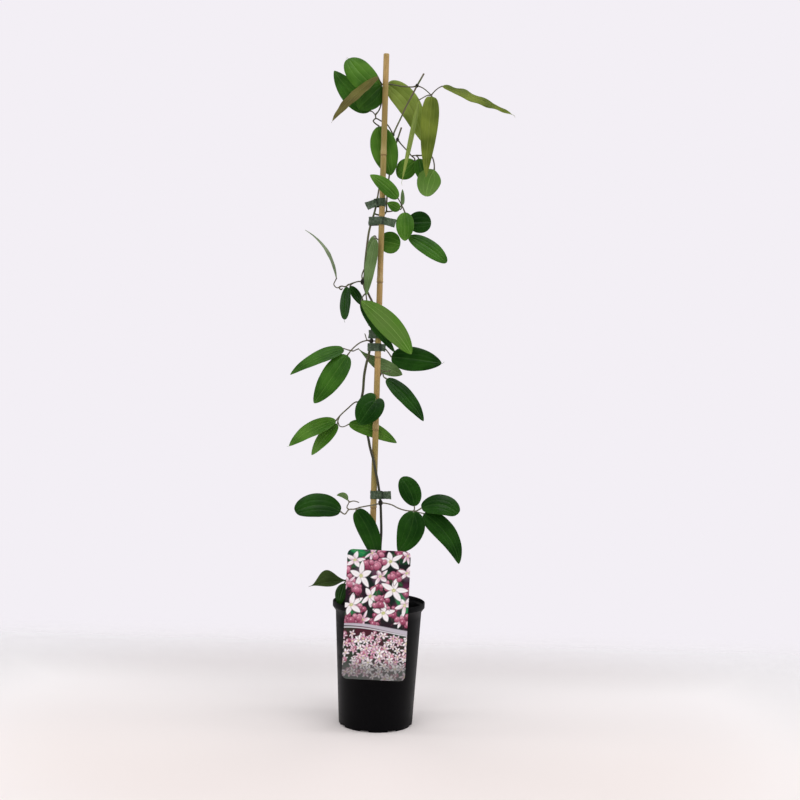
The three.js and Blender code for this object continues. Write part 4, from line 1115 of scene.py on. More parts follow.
# %% Routes of the leaf stalks
STALKS = [
    # foot, behind the label
    [[2.6, 0, 180], [-2, 5, 184], [-11, 8, 187], [-22, 6, 190], [-36.5, 5, 189.6]],
    [[-22, 6, 190], [-33, 9, 192], [-43, 8, 192], [-47, 3.4, 185.8]],
    # low left, in front of the cane
    [[-1.6, -1, 296], [-8, -6.5, 294], [-15, -10, 293], [-28, -13, 290.5], [-36, -15, 288], [-43.5, -15, 287],
      [-48.5, -15.5, 281], [-54, -16, 284]],
    [[-28, -13, 290.5], [-31.4, -15.4, 289.6], [-33.6, -17.4, 287.2]],
    [[-43.5, -15, 287], [-46.2, -14, 290], [-43.6, -13, 297], [-45, -12.6, 299.6]],
    [[-43.6, -13, 297], [-37, -12, 298.5], [-30, -11, 296.6]],
    # low right
    [[-1.6, -1, 296], [4.5, -4, 296], [13.6, -8, 294.5], [22.7, -11, 290.5], [33, -14, 288],
      [43, -13.5, 287.4], [47.5, -12.5, 288], [53.2, -12, 291.4]],
    [[43, -13.5, 287.4], [44.3, -12.6, 290], [44, -12, 293.4]],
    [[43, -13.5, 287.4], [50, -13, 285.8], [56.2, -13, 284.6]],
    # middle left
    [[-32, 8, 430], [-39, 4, 431], [-50, 0, 421.5], [-60, -2, 411.5], [-64.4, -2.6, 405.6]],
    [[-60, -2, 411.5], [-62.4, -1.6, 404], [-62.8, -1.2, 401]],
    [[-62.4, -1.6, 404], [-59.6, -1, 398], [-54.6, 0.6, 397.2], [-47.8, 2.6, 400.6]],
    # middle front, round the left of the cane to its front
    [[-32, 8, 430], [-27, 2, 432], [-20.4, -5.4, 433], [-14.5, -7.6, 433], [-12, -9.2, 434.2]],
    # middle right, behind the cane
    [[-32, 8, 430], [-24, 9, 436], [-15, 8, 442], [-10.6, 7.4, 455], [-7, 7, 468], [-4, 5, 471],
      [-2, 3, 466], [1.4, 2, 463.8]],
    [[-7, 7, 468], [-5.6, 5.6, 474.6], [1.4, 3, 473], [5, 1.6, 475.4], [6, 0, 472.6]],
    # bunch left
    [[-20.2, 0, 514], [-25.2, -1, 514.6], [-33.7, -3, 512], [-41.1, -5, 506.5], [-47.1, -7, 500],
      [-51.4, -8.6, 493.8]],
    [[-47.1, -7, 500], [-51.8, -6, 501], [-57, -4, 502.6]],
    [[-47.1, -7, 500], [-44, -4, 499.6], [-41, 1, 501.4], [-37.6, 3.6, 503]],
    # bunch right, behind the cane
    [[-20.2, 0, 514], [-14, 8, 514], [-5, 13, 508], [2, 20, 501], [6.8, 24.6, 494.8]],
    # a cut stub at the bunch
    [[-20.2, 0, 513.4], [-25.6, 0.6, 514.8], [-29.4, 0, 524]],
    # front: a pale stalk that hangs from the knot down to the bunch
    [[-34, 4, 594], [-32.4, 0, 586], [-29.6, -3, 578], [-27.4, -5, 564], [-25.6, -4.6, 548], [-24, -4, 534]],
    [[-29.6, -3, 578], [-33, -6, 574], [-35, -8.6, 567]],
    [[-29.6, -3, 578], [-34.6, -3.4, 571], [-35.6, -4, 564]],
    # knot left, with a small loop
    [[-34, 4, 594], [-40, 2, 594], [-46, 0, 592], [-52, -2, 589.4], [-57.4, -3.6, 586], [-62.4, -5, 586.4],
      [-65.4, -7.4, 584.4], [-63, -8, 581.4], [-61, -5.4, 583]],
    [[-62.4, -5, 586.4], [-68.4, -4.4, 584], [-72.8, -4.6, 588.4], [-70.6, -5, 594], [-69.4, -5, 597]],
    [[-52, -2, 589.4], [-54.2, -3.6, 588.4], [-56, -4.8, 585.8]],
    [[-46, 0, 592], [-49, 0, 590], [-51, -0.6, 587.6]],
    # knot right, rising in front of the stem
    [[-34, 4, 594], [-35.6, 2, 602], [-32.4, 0, 611.6], [-26.4, -2.4, 625.5], [-22.6, -4.4, 640],
      [-19.2, -7.8, 651]],
    [[-19.8, -7, 649], [-17.8, -4.8, 651.5], [-17.6, 0, 653], [-16.6, 5, 652.8], [-15.6, 7.2, 652.3]],
    [[-17.8, -4.8, 651.5], [-18.4, -3, 655], [-20.2, -2, 655.8]],
    # shoot, lower leaf
    [[-5.4, 9.4, 691], [0.8, 5, 690.5], [7.6, 2, 692.5], [15.4, 0, 697], [18.6, -0.4, 692], [21, 1.4, 685],
      [22.2, 4.4, 676.6], [23.6, 5, 667], [25.6, 4.4, 657.4]],
    [[18.6, -0.4, 692], [20, -2.4, 688.6]],
    [[22.2, 4.4, 676.6], [23.6, 4.4, 675.6]],
    # shoot, upper leaf
    [[15.4, 0, 697], [14, -1.5, 701], [11.6, -4.4, 704.6], [10.5, -6, 706]],
    [[15.4, 0, 697], [15.8, 1.2, 699.4]],
    [[15.4, 0, 697], [15.2, -2.6, 693.5], [13.8, -4.4, 691.9]],
    # shoulder left, behind the cane
    [[1.2, 12, 796], [-7.7, 9.4, 809.4], [-16, 8, 813.4], [-23, 6.6, 816], [-26.4, 6, 812.5], [-23, 7, 809],
      [-18.6, 8.8, 806.6]],
    [[-23, 6.6, 816], [-24, 6, 820.6], [-28, 6, 825], [-30.4, 6.8, 826]],
    [[-24, 6, 820.6], [-19, 8, 828], [-15.4, 10, 842], [-15, 10.6, 854.6]],
    # shoulder right
    [[7, 17, 791], [13, 16, 783.6], [20, 14, 776], [27, 12.6, 768], [31, 12, 764.6], [31.4, 12, 762]],
    [[27, 12.6, 768], [33, 11, 768.4], [36.6, 11.6, 764.8]],
    [[33, 11, 768.4], [43, 7, 768], [53.4, 2, 766.4], [57.4, 0.4, 757], [58, 0.2, 747.8]],
    # crown left, behind the cane
    [[31.6, 2, 861], [26, 3, 859.4], [11, 5.4, 860.5], [-6.6, 8, 863.6], [-16, 6.4, 862.4],
      [-17.2, 5.4, 860.4]],
    [[-16, 6.4, 862.4], [-18.8, 2, 866], [-22, -3.8, 869.6]],
    [[-6.6, 8, 863.6], [-9, 10.4, 864.6], [-9.4, 12.2, 864.6]],
    # crown right
    [[31.6, 2, 861], [40, 1, 857.4], [51, 0, 848], [51.8, -1.4, 846.4]],
    [[51, 0, 848], [55.6, 1.4, 854], [61, 2.8, 859], [65.6, 3.9, 861.6]],
    [[51, 0, 848], [46, -1, 847.4], [40, -3.4, 843.4], [34.8, -5, 839.8]],
]

KNOTS = [  # the middle and radius of each swollen joint
    [[-1.6, -1, 296], 2.8], [[-32, 8, 430], 2.6], [[-20.2, 0, 514], 2.5], [[-34, 4, 594], 3.1],
    [[7, 17, 791], 1.9], [[1.2, 12, 796], 1.7], [[31.6, 2, 861], 1.9],
]
print("stalks:", len(STALKS), "swollen joints:", len(KNOTS))

# %% [markdown]
# ## Placing the leaflets
#
# Each leaflet has its own entry: where its foot and tip are, how wide it is, which way its upper face
# looks, and how its midrib bends and sweeps. They could be scattered over the stem at random, which
# suits a hedge but not the portrait of one plant. The leaves are named from the pot upwards. Most have
# three leaflets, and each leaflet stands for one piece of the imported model.

# %% The leaflets
LEAVES = {
    "foot": [
        dict(base=[-36.8, 5, 189.6], tip=[-94, -17, 183], width=36, face=[0, -0.7, 0.7], fold=40,
             widest=0.58, taper=3),
        dict(base=[-47.2, 2.8, 185.4], tip=[-53, -8, 157], width=18, face=[-0.4, -0.8, 0.3]),
    ],
    "low_left": [
        dict(base=[-54.4, -16, 284.4], tip=[-113, -36, 284], width=33, face=[0, -0.9, 0.4], bend=[5, 7],
             sweep=[-11, -10], widest=0.5, taper=0.45, wavy=1.2),
        dict(base=[-45.2, -12.6, 300], tip=[-60, -18, 306], width=11, face=[0, -0.7, 0.7], fold=30),
        dict(base=[-33.8, -17.9, 286.7], tip=[-4, -24, 220], width=27, face=[-0.2, -1, 0.1], bend=[4, 5],
             sweep=[8, 8], widest=0.38, taper=0.65),
    ],
    "low_right": [
        dict(base=[44, -11.8, 293.8], tip=[25, -4, 331], width=28, face=[-0.1, -0.9, 0.4], bend=[2, 4],
             sweep=[-5, -4], widest=0.5, taper=0.55),
        dict(base=[53.6, -12, 291.5], tip=[102, -22, 286], width=30, face=[0, -0.8, 0.5], bend=[6, 8],
             sweep=[9, 11], widest=0.52, taper=0.42),
        dict(base=[43.4, -15.2, 286.2], tip=[24, -26, 234], width=36, face=[0, -1, 0.2], bend=[4, 5],
             sweep=[6, 7], lobe=9, taper=0.7, cup=-0.06, wavy=1.4),
        dict(base=[56.8, -13, 284.2], tip=[105, -24, 220], width=29, face=[0.2, -1, 0.2], bend=[4, 6],
             sweep=[10, 14], widest=0.36, taper=0.75),
    ],
    "middle_left": [
        dict(base=[-64.8, -2.8, 405.2], tip=[-125, -22, 370], width=25, face=[-0.1, -0.75, 0.6], bend=[4, 6],
             sweep=[-7, -4]),
        dict(base=[-62.9, -1.2, 400.6], tip=[-96, -6, 358], width=22, face=[-0.4, -0.8, 0.4]),
        dict(base=[-47.4, 2.8, 400.7], tip=[18, 10, 377], width=20, face=[0, -1, 0.1], bend=[0, 0],
             sweep=[7, 5]),
    ],
    "middle_front": [
        dict(base=[-12.2, -10.4, 434.6], tip=[-33, -20, 402], width=36, face=[0, -1, 0.2], bend=[3, 4],
             lobe=13, taper=0.6),
    ],
    "middle_right": [
        dict(base=[1.8, 2, 463.5], tip=[53, -8, 408], width=23, face=[0.2, -0.9, 0.4], bend=[4, 6],
             sweep=[3, 4], taper=0.75),
    ],
    "bunch_left": [
        dict(base=[-57.4, -3.9, 502.7], tip=[-126, -24, 465], width=24, face=[-0.2, -0.75, 0.6], bend=[5, 7],
             sweep=[-2, -2], widest=0.34),
        dict(base=[-51.8, -8.7, 493.4], tip=[-93, -28, 428], width=32, face=[-0.1, -1, 0.2], bend=[3, 5],
             sweep=[0, 2], taper=0.7),
        dict(base=[-37.2, 4, 503.1], tip=[23, 18, 470], width=20, face=[0.3, -0.6, 0.75], bend=[-8, -3],
             widest=0.62, twist=62),
    ],
    "bunch_right": [
        dict(base=[7.2, 25, 494.4], tip=[76, 14, 487], width=34, face=[0, -1, 0.2], bend=[4, 7],
             taper=0.7),
    ],
    "front": [
        dict(base=[-35.2, -9.2, 566.6], tip=[34, -20, 497], width=30, face=[0.1, 1, 0], bend=[-3, -4],
             sweep=[-6, -8], widest=0.5, taper=0.7),
        dict(base=[-35.8, -4.5, 563.5], tip=[12, -8, 499], width=15, face=[-0.2, -1, 0], bend=[3, 2]),
    ],
    "knot_left": [
        dict(base=[-69.6, -5.1, 597.4], tip=[-112, -22, 658], width=11, face=[0.75, -0.4, 0.5],
             bend=[12, 14], widest=0.33, taper=1),
        dict(base=[-56.2, -4.9, 585.3], tip=[-57, -12, 541], width=18, face=[-0.6, -0.8, 0.1],
             sweep=[3, 4], widest=0.52, taper=0.45),
        dict(base=[-51.3, -1.1, 586.6], tip=[-31, 14, 561], width=13, face=[0.3, -0.9, 0.2], bend=[1, 1]),
    ],
    "knot_right": [
        dict(base=[-15.2, 7.4, 652.1], tip=[15, 12, 646], width=30, face=[0, -1, 0.1], bend=[1, 2],
             widest=0.55, taper=0.5),
        dict(base=[-18.8, -9, 650.8], tip=[-28, -19, 574], width=18, face=[-0.5, -0.8, 0.1], bend=[1, 3]),
        dict(base=[-21, -1.7, 655.3], tip=[-29, -1, 631], width=8, face=[-0.3, -1, 0], bend=[0.5, 0.5]),
    ],
    "shoot_low": [
        dict(base=[20.2, -2.9, 688.3], tip=[21, -10, 649], width=24, face=[0, -1, 0.2], bend=[2, 4],
             widest=0.45, taper=0.65),
        dict(base=[24.1, 4.4, 675.5], tip=[56, 8, 678], width=30, face=[0, -1, 0.1], bend=[2, 3],
             widest=0.52, taper=0.5),
        dict(base=[26, 4.3, 657], tip=[78, -4, 622], width=24, face=[0.1, -1, 0.3], bend=[3, 4],
             sweep=[3, 3], widest=0.5, taper=0.55),
    ],
    "shoot_high": [
        dict(base=[10, -6.4, 706.3], tip=[-28, -15, 735], width=20, face=[0.1, -1, 0.2], bend=[2, 4],
             sweep=[-2, -2], taper=0.75),
        dict(base=[13.2, -4.8, 692], tip=[-4, -8, 700], width=13, face=[0, -0.9, -0.3], bend=[1, 1]),
        dict(base=[15.8, 1.5, 699.8], tip=[16, 6, 721], width=13, face=[0.9, -0.4, 0], bend=[1, 1]),
    ],
    "shoulder_left": [
        dict(base=[-15.3, 11.3, 855.5], tip=[-62, 2, 895], width=37, face=[-0.1, -0.95, 0.3], bend=[1, 7],
             sweep=[7, 8], widest=0.56, taper=0.48),
        dict(base=[-30.8, 7.2, 826.2], tip=[-82, 16, 882], width=30, face=[-0.2, -1, 0.1], bend=[-3, 1],
             sweep=[4, 4], wavy=1.3),
        dict(base=[-18.2, 8.9, 806.3], tip=[-0.5, 8, 740], width=36, face=[0, -1, 0], bend=[0.5, 1],
             sweep=[-1, 0], widest=0.45, taper=0.7),
    ],
    "shoulder_right": [
        dict(base=[31.3, 12.2, 761.4], tip=[9, 20, 740], width=27, face=[0, -1, 0.1], bend=[1, 2],
             widest=0.5, taper=0.6),
        dict(base=[37, 11.6, 764.4], tip=[45, 10, 730], width=20, face=[0.3, -1, 0], bend=[1, 2]),
        dict(base=[58, 0, 747.4], tip=[49, -12, 709], width=32, face=[0, 1, 0.2], bend=[2, 5],
             sweep=[4, 4], lobe=5, taper=0.6, cup=-0.06),
    ],
    "crown_left": [
        dict(base=[-17.5, 5.2, 860], tip=[-47, -4, 826], width=34, face=[0.34, -1, 0], bend=[1, 2],
             widest=0.45, taper=0.65),
        dict(base=[-22.4, -4.4, 869.8], tip=[-78, -47, 798], width=24, face=[-0.38, -0.65, 0.66],
             bend=[4, 6]),
        dict(base=[-9.2, 12.8, 864.4], tip=[44, 28, 788], width=33, face=[0.1, -1, 0.1], bend=[2, 4],
             sweep=[18, 9], widest=0.34, wavy=1.2),
    ],
    "crown_right": [
        dict(base=[51.9, -1.7, 846], tip=[47, -16, 734], width=24, face=[0.2, -1, 0.1], bend=[3, 4],
             sweep=[-1, -3], widest=0.28, taper=0.85),
        dict(base=[34.5, -5.2, 839.4], tip=[15, -18, 728], width=15, face=[0, 1, 0], bend=[-2, -2], fold=64),
        dict(base=[66, 3.9, 861.6], tip=[162, 18, 830], width=20, face=[0.25, -0.75, 0.6], bend=[1, 4],
             wavy=2.6),
    ],
}
print("leaves:", len(LEAVES))

# %% The vine's shape
STEM_RADIUS_HIGH = 1.15
STALK_RADIUS = 0.8
MAIN_STALK, MAIN_SHARE, SIDE_SHARE = 30, 1.15, 0.92  # a leaf's main stalk is over 30 mm long, and thicker
LEAF_REACH = 1.7  # a stalk that ends this close to a leaflet's foot runs on to it
KNOT_SHAPE = (1.15, 1.15, 1.4)
KNOT_AGE = 1.6  # an age over 1 is the scarred skin of a swollen joint
OLD_BELOW, GREEN_ABOVE = 300, 720


def swollen(path, radius, start, finish, reach=5):
    """A radius for each station that grows by the given shares at the two ends of a path."""
    gone = travelled(path)
    return radius * (1 + start * bell(gone, reach) + finish * bell(gone[-1] - gone, reach * 0.7))


def age_at(path):
    """1 for old dark wood low down, falling to 0 for this year's green growth at the top."""
    return np.clip((GREEN_ABOVE - path[:, 2]) / (GREEN_ABOVE - OLD_BELOW), 0, 1)


bases = np.array([leaflet["base"] for leaflets in LEAVES.values() for leaflet in leaflets])
vine_surfaces = []
for points, radius in ((STEM_LOW, STEM_RADIUS_LOW), (STEM_MIDDLE, STEM_RADIUS_MIDDLE),
                       (STEM_HIGH, STEM_RADIUS_HIGH), (SIDE_SHOOT, STEM_RADIUS_HIGH)):
    path = route(points, 1.6)
    reach = swollen(path, radius, 0.05, 0.05) * (1 + 0.05 * waves(path, 30, 8))
    vine_surfaces.append(tube(path, reach, 18, ribs=6, rib_depth=0.05, age=age_at(path), stalk=0.0))
for points in STALKS:
    last = np.array(points[-1], float)
    nearest = bases[np.argmin(np.linalg.norm(bases - last, axis=1))]
    joins_leaf = np.linalg.norm(nearest - last) < LEAF_REACH
    path = route([*points, nearest] if joins_leaf else points, 1.2)
    share = MAIN_SHARE if travelled(path)[-1] > MAIN_STALK else SIDE_SHARE
    reach = swollen(path, STALK_RADIUS * share, 0.45, 0.25 if joins_leaf else -0.15, 3.5)
    vine_surfaces.append(tube(path, reach, 12, ribs=3, rib_depth=0.03, age=age_at(path), stalk=1.0))
for place, radius in KNOTS:
    knot = ball(place, radius * np.array(KNOT_SHAPE), 14, 18, age=KNOT_AGE, stalk=0.1)
    knot["points"] = knot["points"] + 0.35 * waves(knot["points"], 3, 9)[:, None]
    vine_surfaces.append(knot)
vine = put_mesh("vine", vine_surfaces)
print("vine faces:", len(vine.data.polygons))

# %% [markdown]
# ## Stem skin
#
# Low down the stem is nearly black and slightly rough. Higher up it is a dull green with a brown blush,
# the stalks are greyer, and the swollen joints are black with old scars. Stem, stalks and joints could
# each have a material. One is enough here: its blush is long streaks of noise, and the marks for age and
# stalk move it from one end of the range to the other.

# %% The vine's finish
paint = Paint("clematis stem skin")
age, stalk = paint.mark("age"), paint.mark("stalk")
streak = paint.noise(paint.place((1, 1, 0.18)), 420, 4.0, 0.6)
patch = paint.noise(paint.place(), 55, 2.0)
young = paint.blend(paint.step(patch, 0.35, 0.65), (96, 106, 64), (108, 96, 78))
old = paint.blend(streak, (34, 34, 27), (62, 62, 48))
colour = paint.blend(age, young, old)
wiry = paint.blend(paint.step(streak, 0.3, 0.7), (86, 88, 62), (80, 68, 60))
weathered = paint.blend(paint.step(streak, 0.3, 0.7), (136, 130, 106), (100, 94, 76))
wiry = paint.blend(age, wiry, weathered)
colour = paint.blend(stalk * 0.8, colour, wiry)
colour = paint.blend(paint.step(age, 1.1, 1.5) * 0.75, colour, (16, 13, 10))
rough = 0.45 + 0.25 * streak
stem_finish = paint.finish(Base_Color=colour, Roughness=rough, Normal=paint.relief(streak, 0.0002, 0.5))
settle(vine, stem_finish, "stem", "clematis_stem")
print("finish:", stem_finish.name)

# %% [markdown]
# ## Leaflets
#
# An evergreen clematis leaflet is a leathery blade with three strong veins that run from foot to tip
# like the seams of a boat, and a fine net between them. A flat card with a texture would do from afar.
# Here every leaflet is a solid sheet half a millimetre thick. A point of it is named by two numbers: s
# runs from foot to tip, and v runs from -1 at one margin through 0 at the midrib to 1 at the other. The
# midrib is a curve, the half-width is a function of s, and everything else is a height over the sheet:
# the fold, the cup, the grooves over the veins, the quilting between them and the waves of the margin.

# %% The leaflet as a function of s and v
# bend and sweep move the two handles of the midrib up and aside, lobe is how far the base lobes lie back,
# and wavy how high the margin waves, all in millimetres. fold and twist are in degrees. cup is a share of
# the half-width, and widest one of the length. A large taper makes a long fine tip.
LEAF_DEFAULTS = dict(bend=(3, 5), sweep=(0, 0), fold=8, cup=-0.14, lobe=0, widest=0.4, taper=0.8, twist=0,
                     wavy=0.6, thread=None)
BLADE_END_WIDTH = 0.9
LOBE_END = 0.36  # where along a leaflet its base lobes end
BLADE_THICKNESS = 0.45
BLADE_STATIONS = 50
SIDE_VEIN = 0.42  # where the two side veins run, as a share of the half-width
HALF_COLUMNS = np.array([0, 0.03, 0.07, 0.15, 0.25, 0.34, 0.39, 0.42, 0.45, 0.5, 0.6, 0.7, 0.8, 0.88,
                         0.94, 0.98, 1])  # closest at the veins and the margin
COLUMNS = np.concatenate([-HALF_COLUMNS[:0:-1], HALF_COLUMNS])


def half_width(s, width, widest, taper, lobed=False):
    """s to one power times 1 - s to another, scaled so that its peak is 1 where the leaflet is widest.
    A blade with lobes is widest where they end, and grows to there as half a cosine wave."""
    widest = LOBE_END if lobed else widest
    rise = taper * widest / (1 - widest)
    peak = widest**rise * (1 - widest) ** taper
    share = s**rise * (1 - s) ** taper / peak
    if lobed:
        share = np.where(s < LOBE_END, (1 - np.cos(np.pi * s / LOBE_END)) / 2, share)
    return BLADE_END_WIDTH * (0.5 - 0.25 * s) + width / 2 * share


def leaf_relief(s, v, half, seed):
    """Height of the upper face over the plain sheet, in millimetres: minus a groove over each vein, plus
    soft pillows between them and slow unevenness."""
    fade = np.clip(half / 6, 0, 1)
    middle = 0.32 * bell(v * half, 0.7) * (1 - 0.6 * s)
    sides = 0.2 * bell((np.abs(v) - SIDE_VEIN) * half, 0.55)
    pillows = 0.16 * np.sin(np.pi * np.clip(np.abs(v) / SIDE_VEIN, 0, 1)) ** 2
    cross = 0.05 * np.sin(2 * np.pi * (s * 9 - np.abs(v) * 1.1) + seed)
    slow = 0.35 * waves(np.stack([s * 3 + 0 * v, v + 0 * s, 0 * s + 0 * v], axis=-1), 2.2, seed)
    return fade * (pillows + cross + slow - sides) - middle


def leaf_surfaces(base, tip, width, face, bend, sweep, fold, cup, lobe, widest, taper, twist, wavy,
                  thread, seed):
    """The closed sheet of one leaflet, and the thread that some tips end in. Its midrib is a cubic
    Bezier curve. Across it, the sheet rises with v for the fold, with v squared for the cup, and with
    noise times v cubed for the wavy margin. The lobes lie back as v squared times a sine along s."""
    base, tip = np.array(base, float), np.array(tip, float)
    along = unit(tip - base)
    up = unit(np.array(face, float) - np.dot(face, along) * along)
    side = np.cross(up, along)
    length = np.linalg.norm(tip - base)
    first, second = (base + along * length * share + up * rise + side * aside
                     for share, rise, aside in zip((1 / 3, 2 / 3), bend, sweep))

    evenly = np.linspace(0, 1, BLADE_STATIONS)
    s = (0.5 * evenly + 0.25 * (1 - np.cos(np.pi * evenly)))[:, None]
    midrib = ((1 - s) ** 3 * base + 3 * s * (1 - s) ** 2 * first + 3 * s**2 * (1 - s) * second
              + s**3 * tip)
    tangent = unit((1 - s) ** 2 * (first - base) + 2 * s * (1 - s) * (second - first)
                   + s**2 * (tip - second))
    spin = np.radians(twist * s)
    turned_up = up * np.cos(spin) + np.cross(along, up) * np.sin(spin)
    across = unit(np.cross(turned_up, tangent))
    normal = np.cross(tangent, across)
    half = half_width(s, width, widest, taper, lobe > 0)

    v = COLUMNS[None]
    cupped = np.abs(v) * half * math.sin(math.radians(fold)) + cup * half * v**2
    spots = np.stack([s * length + 0 * v, 40 * np.sign(v) + 0 * s, 0 * s * v], axis=-1)
    ripple = wavy * np.abs(v) ** 3 * waves(spots, 26, seed)
    sheet = cupped + ripple * np.clip(half / 8, 0, 1)
    body = BLADE_THICKNESS / 2 * np.clip((1 - v**2) * 5, 0.12, 1) * np.ones_like(s)
    side_rib = 0.16 * bell((np.abs(v) - SIDE_VEIN) * half, 0.4) * np.clip(half / 5, 0, 1)
    rib = 0.62 * bell(v * half, 0.5) * (1 - 0.75 * s) + side_rib
    top = sheet + body + leaf_relief(s, v, half, seed) * np.clip((1 - np.abs(v)) * 8, 0, 1)
    bottom = np.minimum(sheet - body - rib, top - 0.06)
    back = lobe * v**2 * np.sin(np.pi * np.minimum(1, s / LOBE_END))

    def on_sheet(height):
        """Places at a height over the plain sheet: out along across, up along normal, back for a lobe."""
        return (midrib[:, None] + across[:, None] * (v * half * math.cos(math.radians(fold)))[..., None]
                + normal[:, None] * height[..., None] - tangent[:, None] * back[..., None])

    rings = np.concatenate([on_sheet(top)[:, ::-1], on_sheet(bottom)[:, 1:-1]], axis=1)
    ring_v = np.concatenate([COLUMNS[::-1], COLUMNS[1:-1]])
    lower = np.concatenate([np.zeros(len(COLUMNS)), np.ones(len(COLUMNS) - 2)])
    blade = skin(rings, across=ring_v[None], half=half, far=s * length, under=lower[None])
    if thread is None:
        return [blade]
    path = route(np.vstack([midrib[-3], tip, tip + np.array(thread, float)]), 0.8)
    fine = np.linspace(0.3, 0.14, len(path))
    return [blade, tube(path, fine, 8, across=0.0, half=0.4, far=length, under=0.0)]


print("columns across a leaflet:", len(COLUMNS))

# %% All the leaflets
THREADS = {  # steps from the tip along the dry thread that it ends in
    "crown_right_2": [(-0.6, -0.5, -3.5), (0.6, -0.8, -6.5)],
    "crown_right_3": [(4, 0.5, -2), (4.6, 0.6, -4.6)],
    "knot_left_2": [(0.3, -0.5, -2.5), (1.6, -0.6, -4.2)],
    "shoulder_left_1": [(-2.5, -0.5, 0.6), (-3.6, -0.6, -1.2)],
    "bunch_right_1": [(2.5, 0, 0.8), (3.4, 0, 2.4)],
    "crown_left_2": [(-1.6, -1.2, -3.4)],
    "middle_left_1": [(-3, -0.8, -0.6)],
}

blades = {}
for leaf, leaflets in LEAVES.items():
    for number, leaflet in enumerate(leaflets, start=1):
        name = f"{leaf}_{number}"
        shape = {**LEAF_DEFAULTS, **leaflet, "thread": THREADS.get(name), "seed": 40 + len(blades)}
        blades[name] = put_mesh(f"blade_{name}", leaf_surfaces(**shape))
print("leaflets:", len(blades))

# %% [markdown]
# ## Leaf finishes
#
# A leathery leaflet shines on top and is dull and paler beneath, where its veins stand out. Its colour
# deepens from the soft growth at the top of the plant to the old leaves low down. One green for all would
# look like plastic, and one material for each would repeat itself 44 times, so there are nine finishes
# from one recipe. The recipe knows where it is on the blade through the marks: distances from the veins
# in millimetres, so that a vein is as wide on a small leaflet as on a large one.

# %% The recipe for a leaf finish
OUTER_VEIN = 0.76  # as a share of the half-width


def leaf_finish(name, dark, light, vein, beneath, gloss):
    """A finish whose upper face clouds from dark to light, with its veins in the vein's colour, a margin in
    the vein's colour that is partly the leaf's own paler rim and partly a painted highlight, and a faint
    net between them. The under face is beneath, with a clearer net."""
    paint = Paint(name)
    v, half, far, under = (paint.mark(mark) for mark in ("across", "half", "far", "under"))
    outward = abs(v)
    on_blade = paint.node("ShaderNodeCombineXYZ", None, (far, v * half, under * 50))

    midrib = paint.step(outward * half, 0.75, 0.2)
    side_vein = paint.step(abs(outward - SIDE_VEIN) * half, 0.42, 0.1)
    outer_vein = paint.step(abs(outward - OUTER_VEIN) * half, 0.3, 0.05)
    margin = paint.step((1 - outward) * half, 0.55, 0.1)
    wander = paint.noise(on_blade, 0.22, 2.0)
    rung = (far * 0.19 - outward * half * 0.1 + wander * 1.6).math("FRACT")
    rungs = paint.step(abs(rung - 0.5), 0.44, 0.5)
    net = paint.step(paint.cells(on_blade, 0.62, "DISTANCE_TO_EDGE"), 0.12, 0.0)
    veins = (midrib + 0.75 * side_vein + 0.3 * outer_vein).math("MINIMUM", 1.0)
    fine = (0.5 * rungs + 0.4 * net).math("MINIMUM", 1.0)

    cloud = paint.noise(on_blade, 0.035, 1.0)
    grain = paint.noise(on_blade, 0.35, 2.0)
    upper = paint.blend(paint.step(cloud, 0.3, 0.72), dark, light)
    upper = paint.blend(fine * 0.05, upper, vein)
    upper = paint.blend(veins * 0.32, upper, vein)
    # partly painted highlight: the margin is paler, partly as the leaf's own rim and partly as light caught
    # along the edge
    upper = paint.blend(margin * 0.35, upper, vein)
    lower = paint.blend(paint.step(cloud, 0.3, 0.7), beneath, light)
    lower = paint.blend(fine * 0.14, lower, vein)
    lower = paint.blend(veins * 0.7, lower, vein)
    colour = paint.blend(under, upper, lower)

    rough = gloss + 0.1 * grain + 0.08 * cloud + under * 0.22
    height = 0.3 * fine * under + 0.3 * grain
    return paint.finish(Base_Color=colour, Roughness=rough, Normal=paint.relief(height, 0.00008, 0.4),
                        IOR=1.45, Specular_IOR_Level=0.2)


print("the recipe is ready")

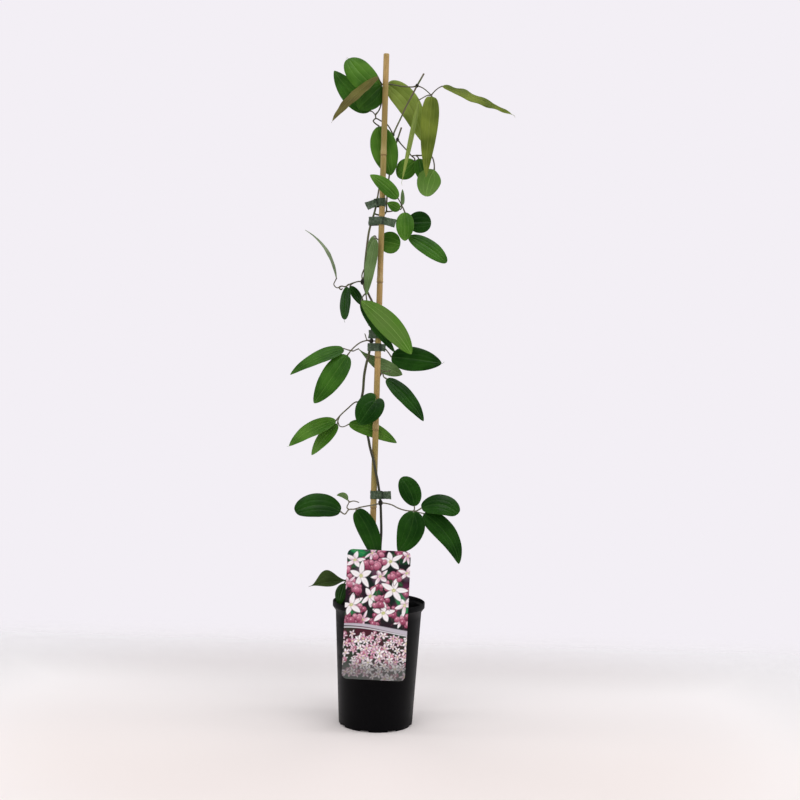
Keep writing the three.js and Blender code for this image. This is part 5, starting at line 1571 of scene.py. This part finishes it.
# %% Nine leaf finishes
LEAF_TONES = {  # material, dark, light, vein, under face, roughness
    "deep": ("old leaf", (13, 48, 5), (31, 72, 13), (64, 104, 38), (66, 92, 42), 0.3),
    "shade": ("shaded foot leaf", (34, 52, 14), (58, 76, 32), (104, 122, 84), (96, 110, 84), 0.34),
    "middle": ("grown leaf", (36, 78, 12), (60, 106, 27), (100, 138, 60), (84, 116, 54), 0.32),
    "fresh": ("fresh leaf", (52, 96, 17), (82, 126, 38), (124, 158, 78), (92, 124, 54), 0.34),
    "silver": ("paler leaf", (78, 104, 52), (104, 130, 78), (136, 158, 108), (112, 130, 92), 0.4),
    "grey": ("dull grey leaf", (104, 122, 88), (134, 148, 116), (158, 168, 142), (120, 132, 108), 0.45),
    "lime": ("yellow-green leaf", (110, 130, 48), (138, 156, 70), (158, 172, 92), (122, 142, 66), 0.38),
    "brown": ("bronze young leaf", (84, 76, 32), (102, 98, 46), (126, 118, 66), (86, 84, 42), 0.38),
    "olive": ("olive young leaf", (76, 92, 20), (112, 126, 42), (138, 146, 70), (96, 116, 44), 0.36),
}
FINISH_OF = {
    "foot": "shade deep", "low_left": "deep silver deep", "low_right": "deep deep deep deep",
    "middle_left": "fresh fresh fresh", "middle_front": "deep", "middle_right": "deep",
    "bunch_left": "middle middle silver", "bunch_right": "deep", "front": "fresh deep",
    "knot_left": "grey deep deep", "knot_right": "fresh silver silver",
    "shoot_low": "fresh deep middle", "shoot_high": "fresh fresh silver",
    "shoulder_left": "fresh middle fresh", "shoulder_right": "fresh middle fresh",
    "crown_left": "middle brown lime", "crown_right": "olive lime olive",
}
LEAF_FINISHES = {tone: leaf_finish(*recipe) for tone, recipe in LEAF_TONES.items()}
OLD_LEAVES = ("foot", "low", "middle", "bunch")
for name, blade in blades.items():
    leaf, number = name.rsplit("_", 1)
    finish = LEAF_FINISHES[FINISH_OF[leaf].split()[int(number) - 1]]
    slot = "old_leaf" if leaf.split("_")[0] in OLD_LEAVES else "young_leaf"
    settle(blade, finish, slot, f"leaflet_{name}")
print("finishes:", list(LEAF_FINISHES))
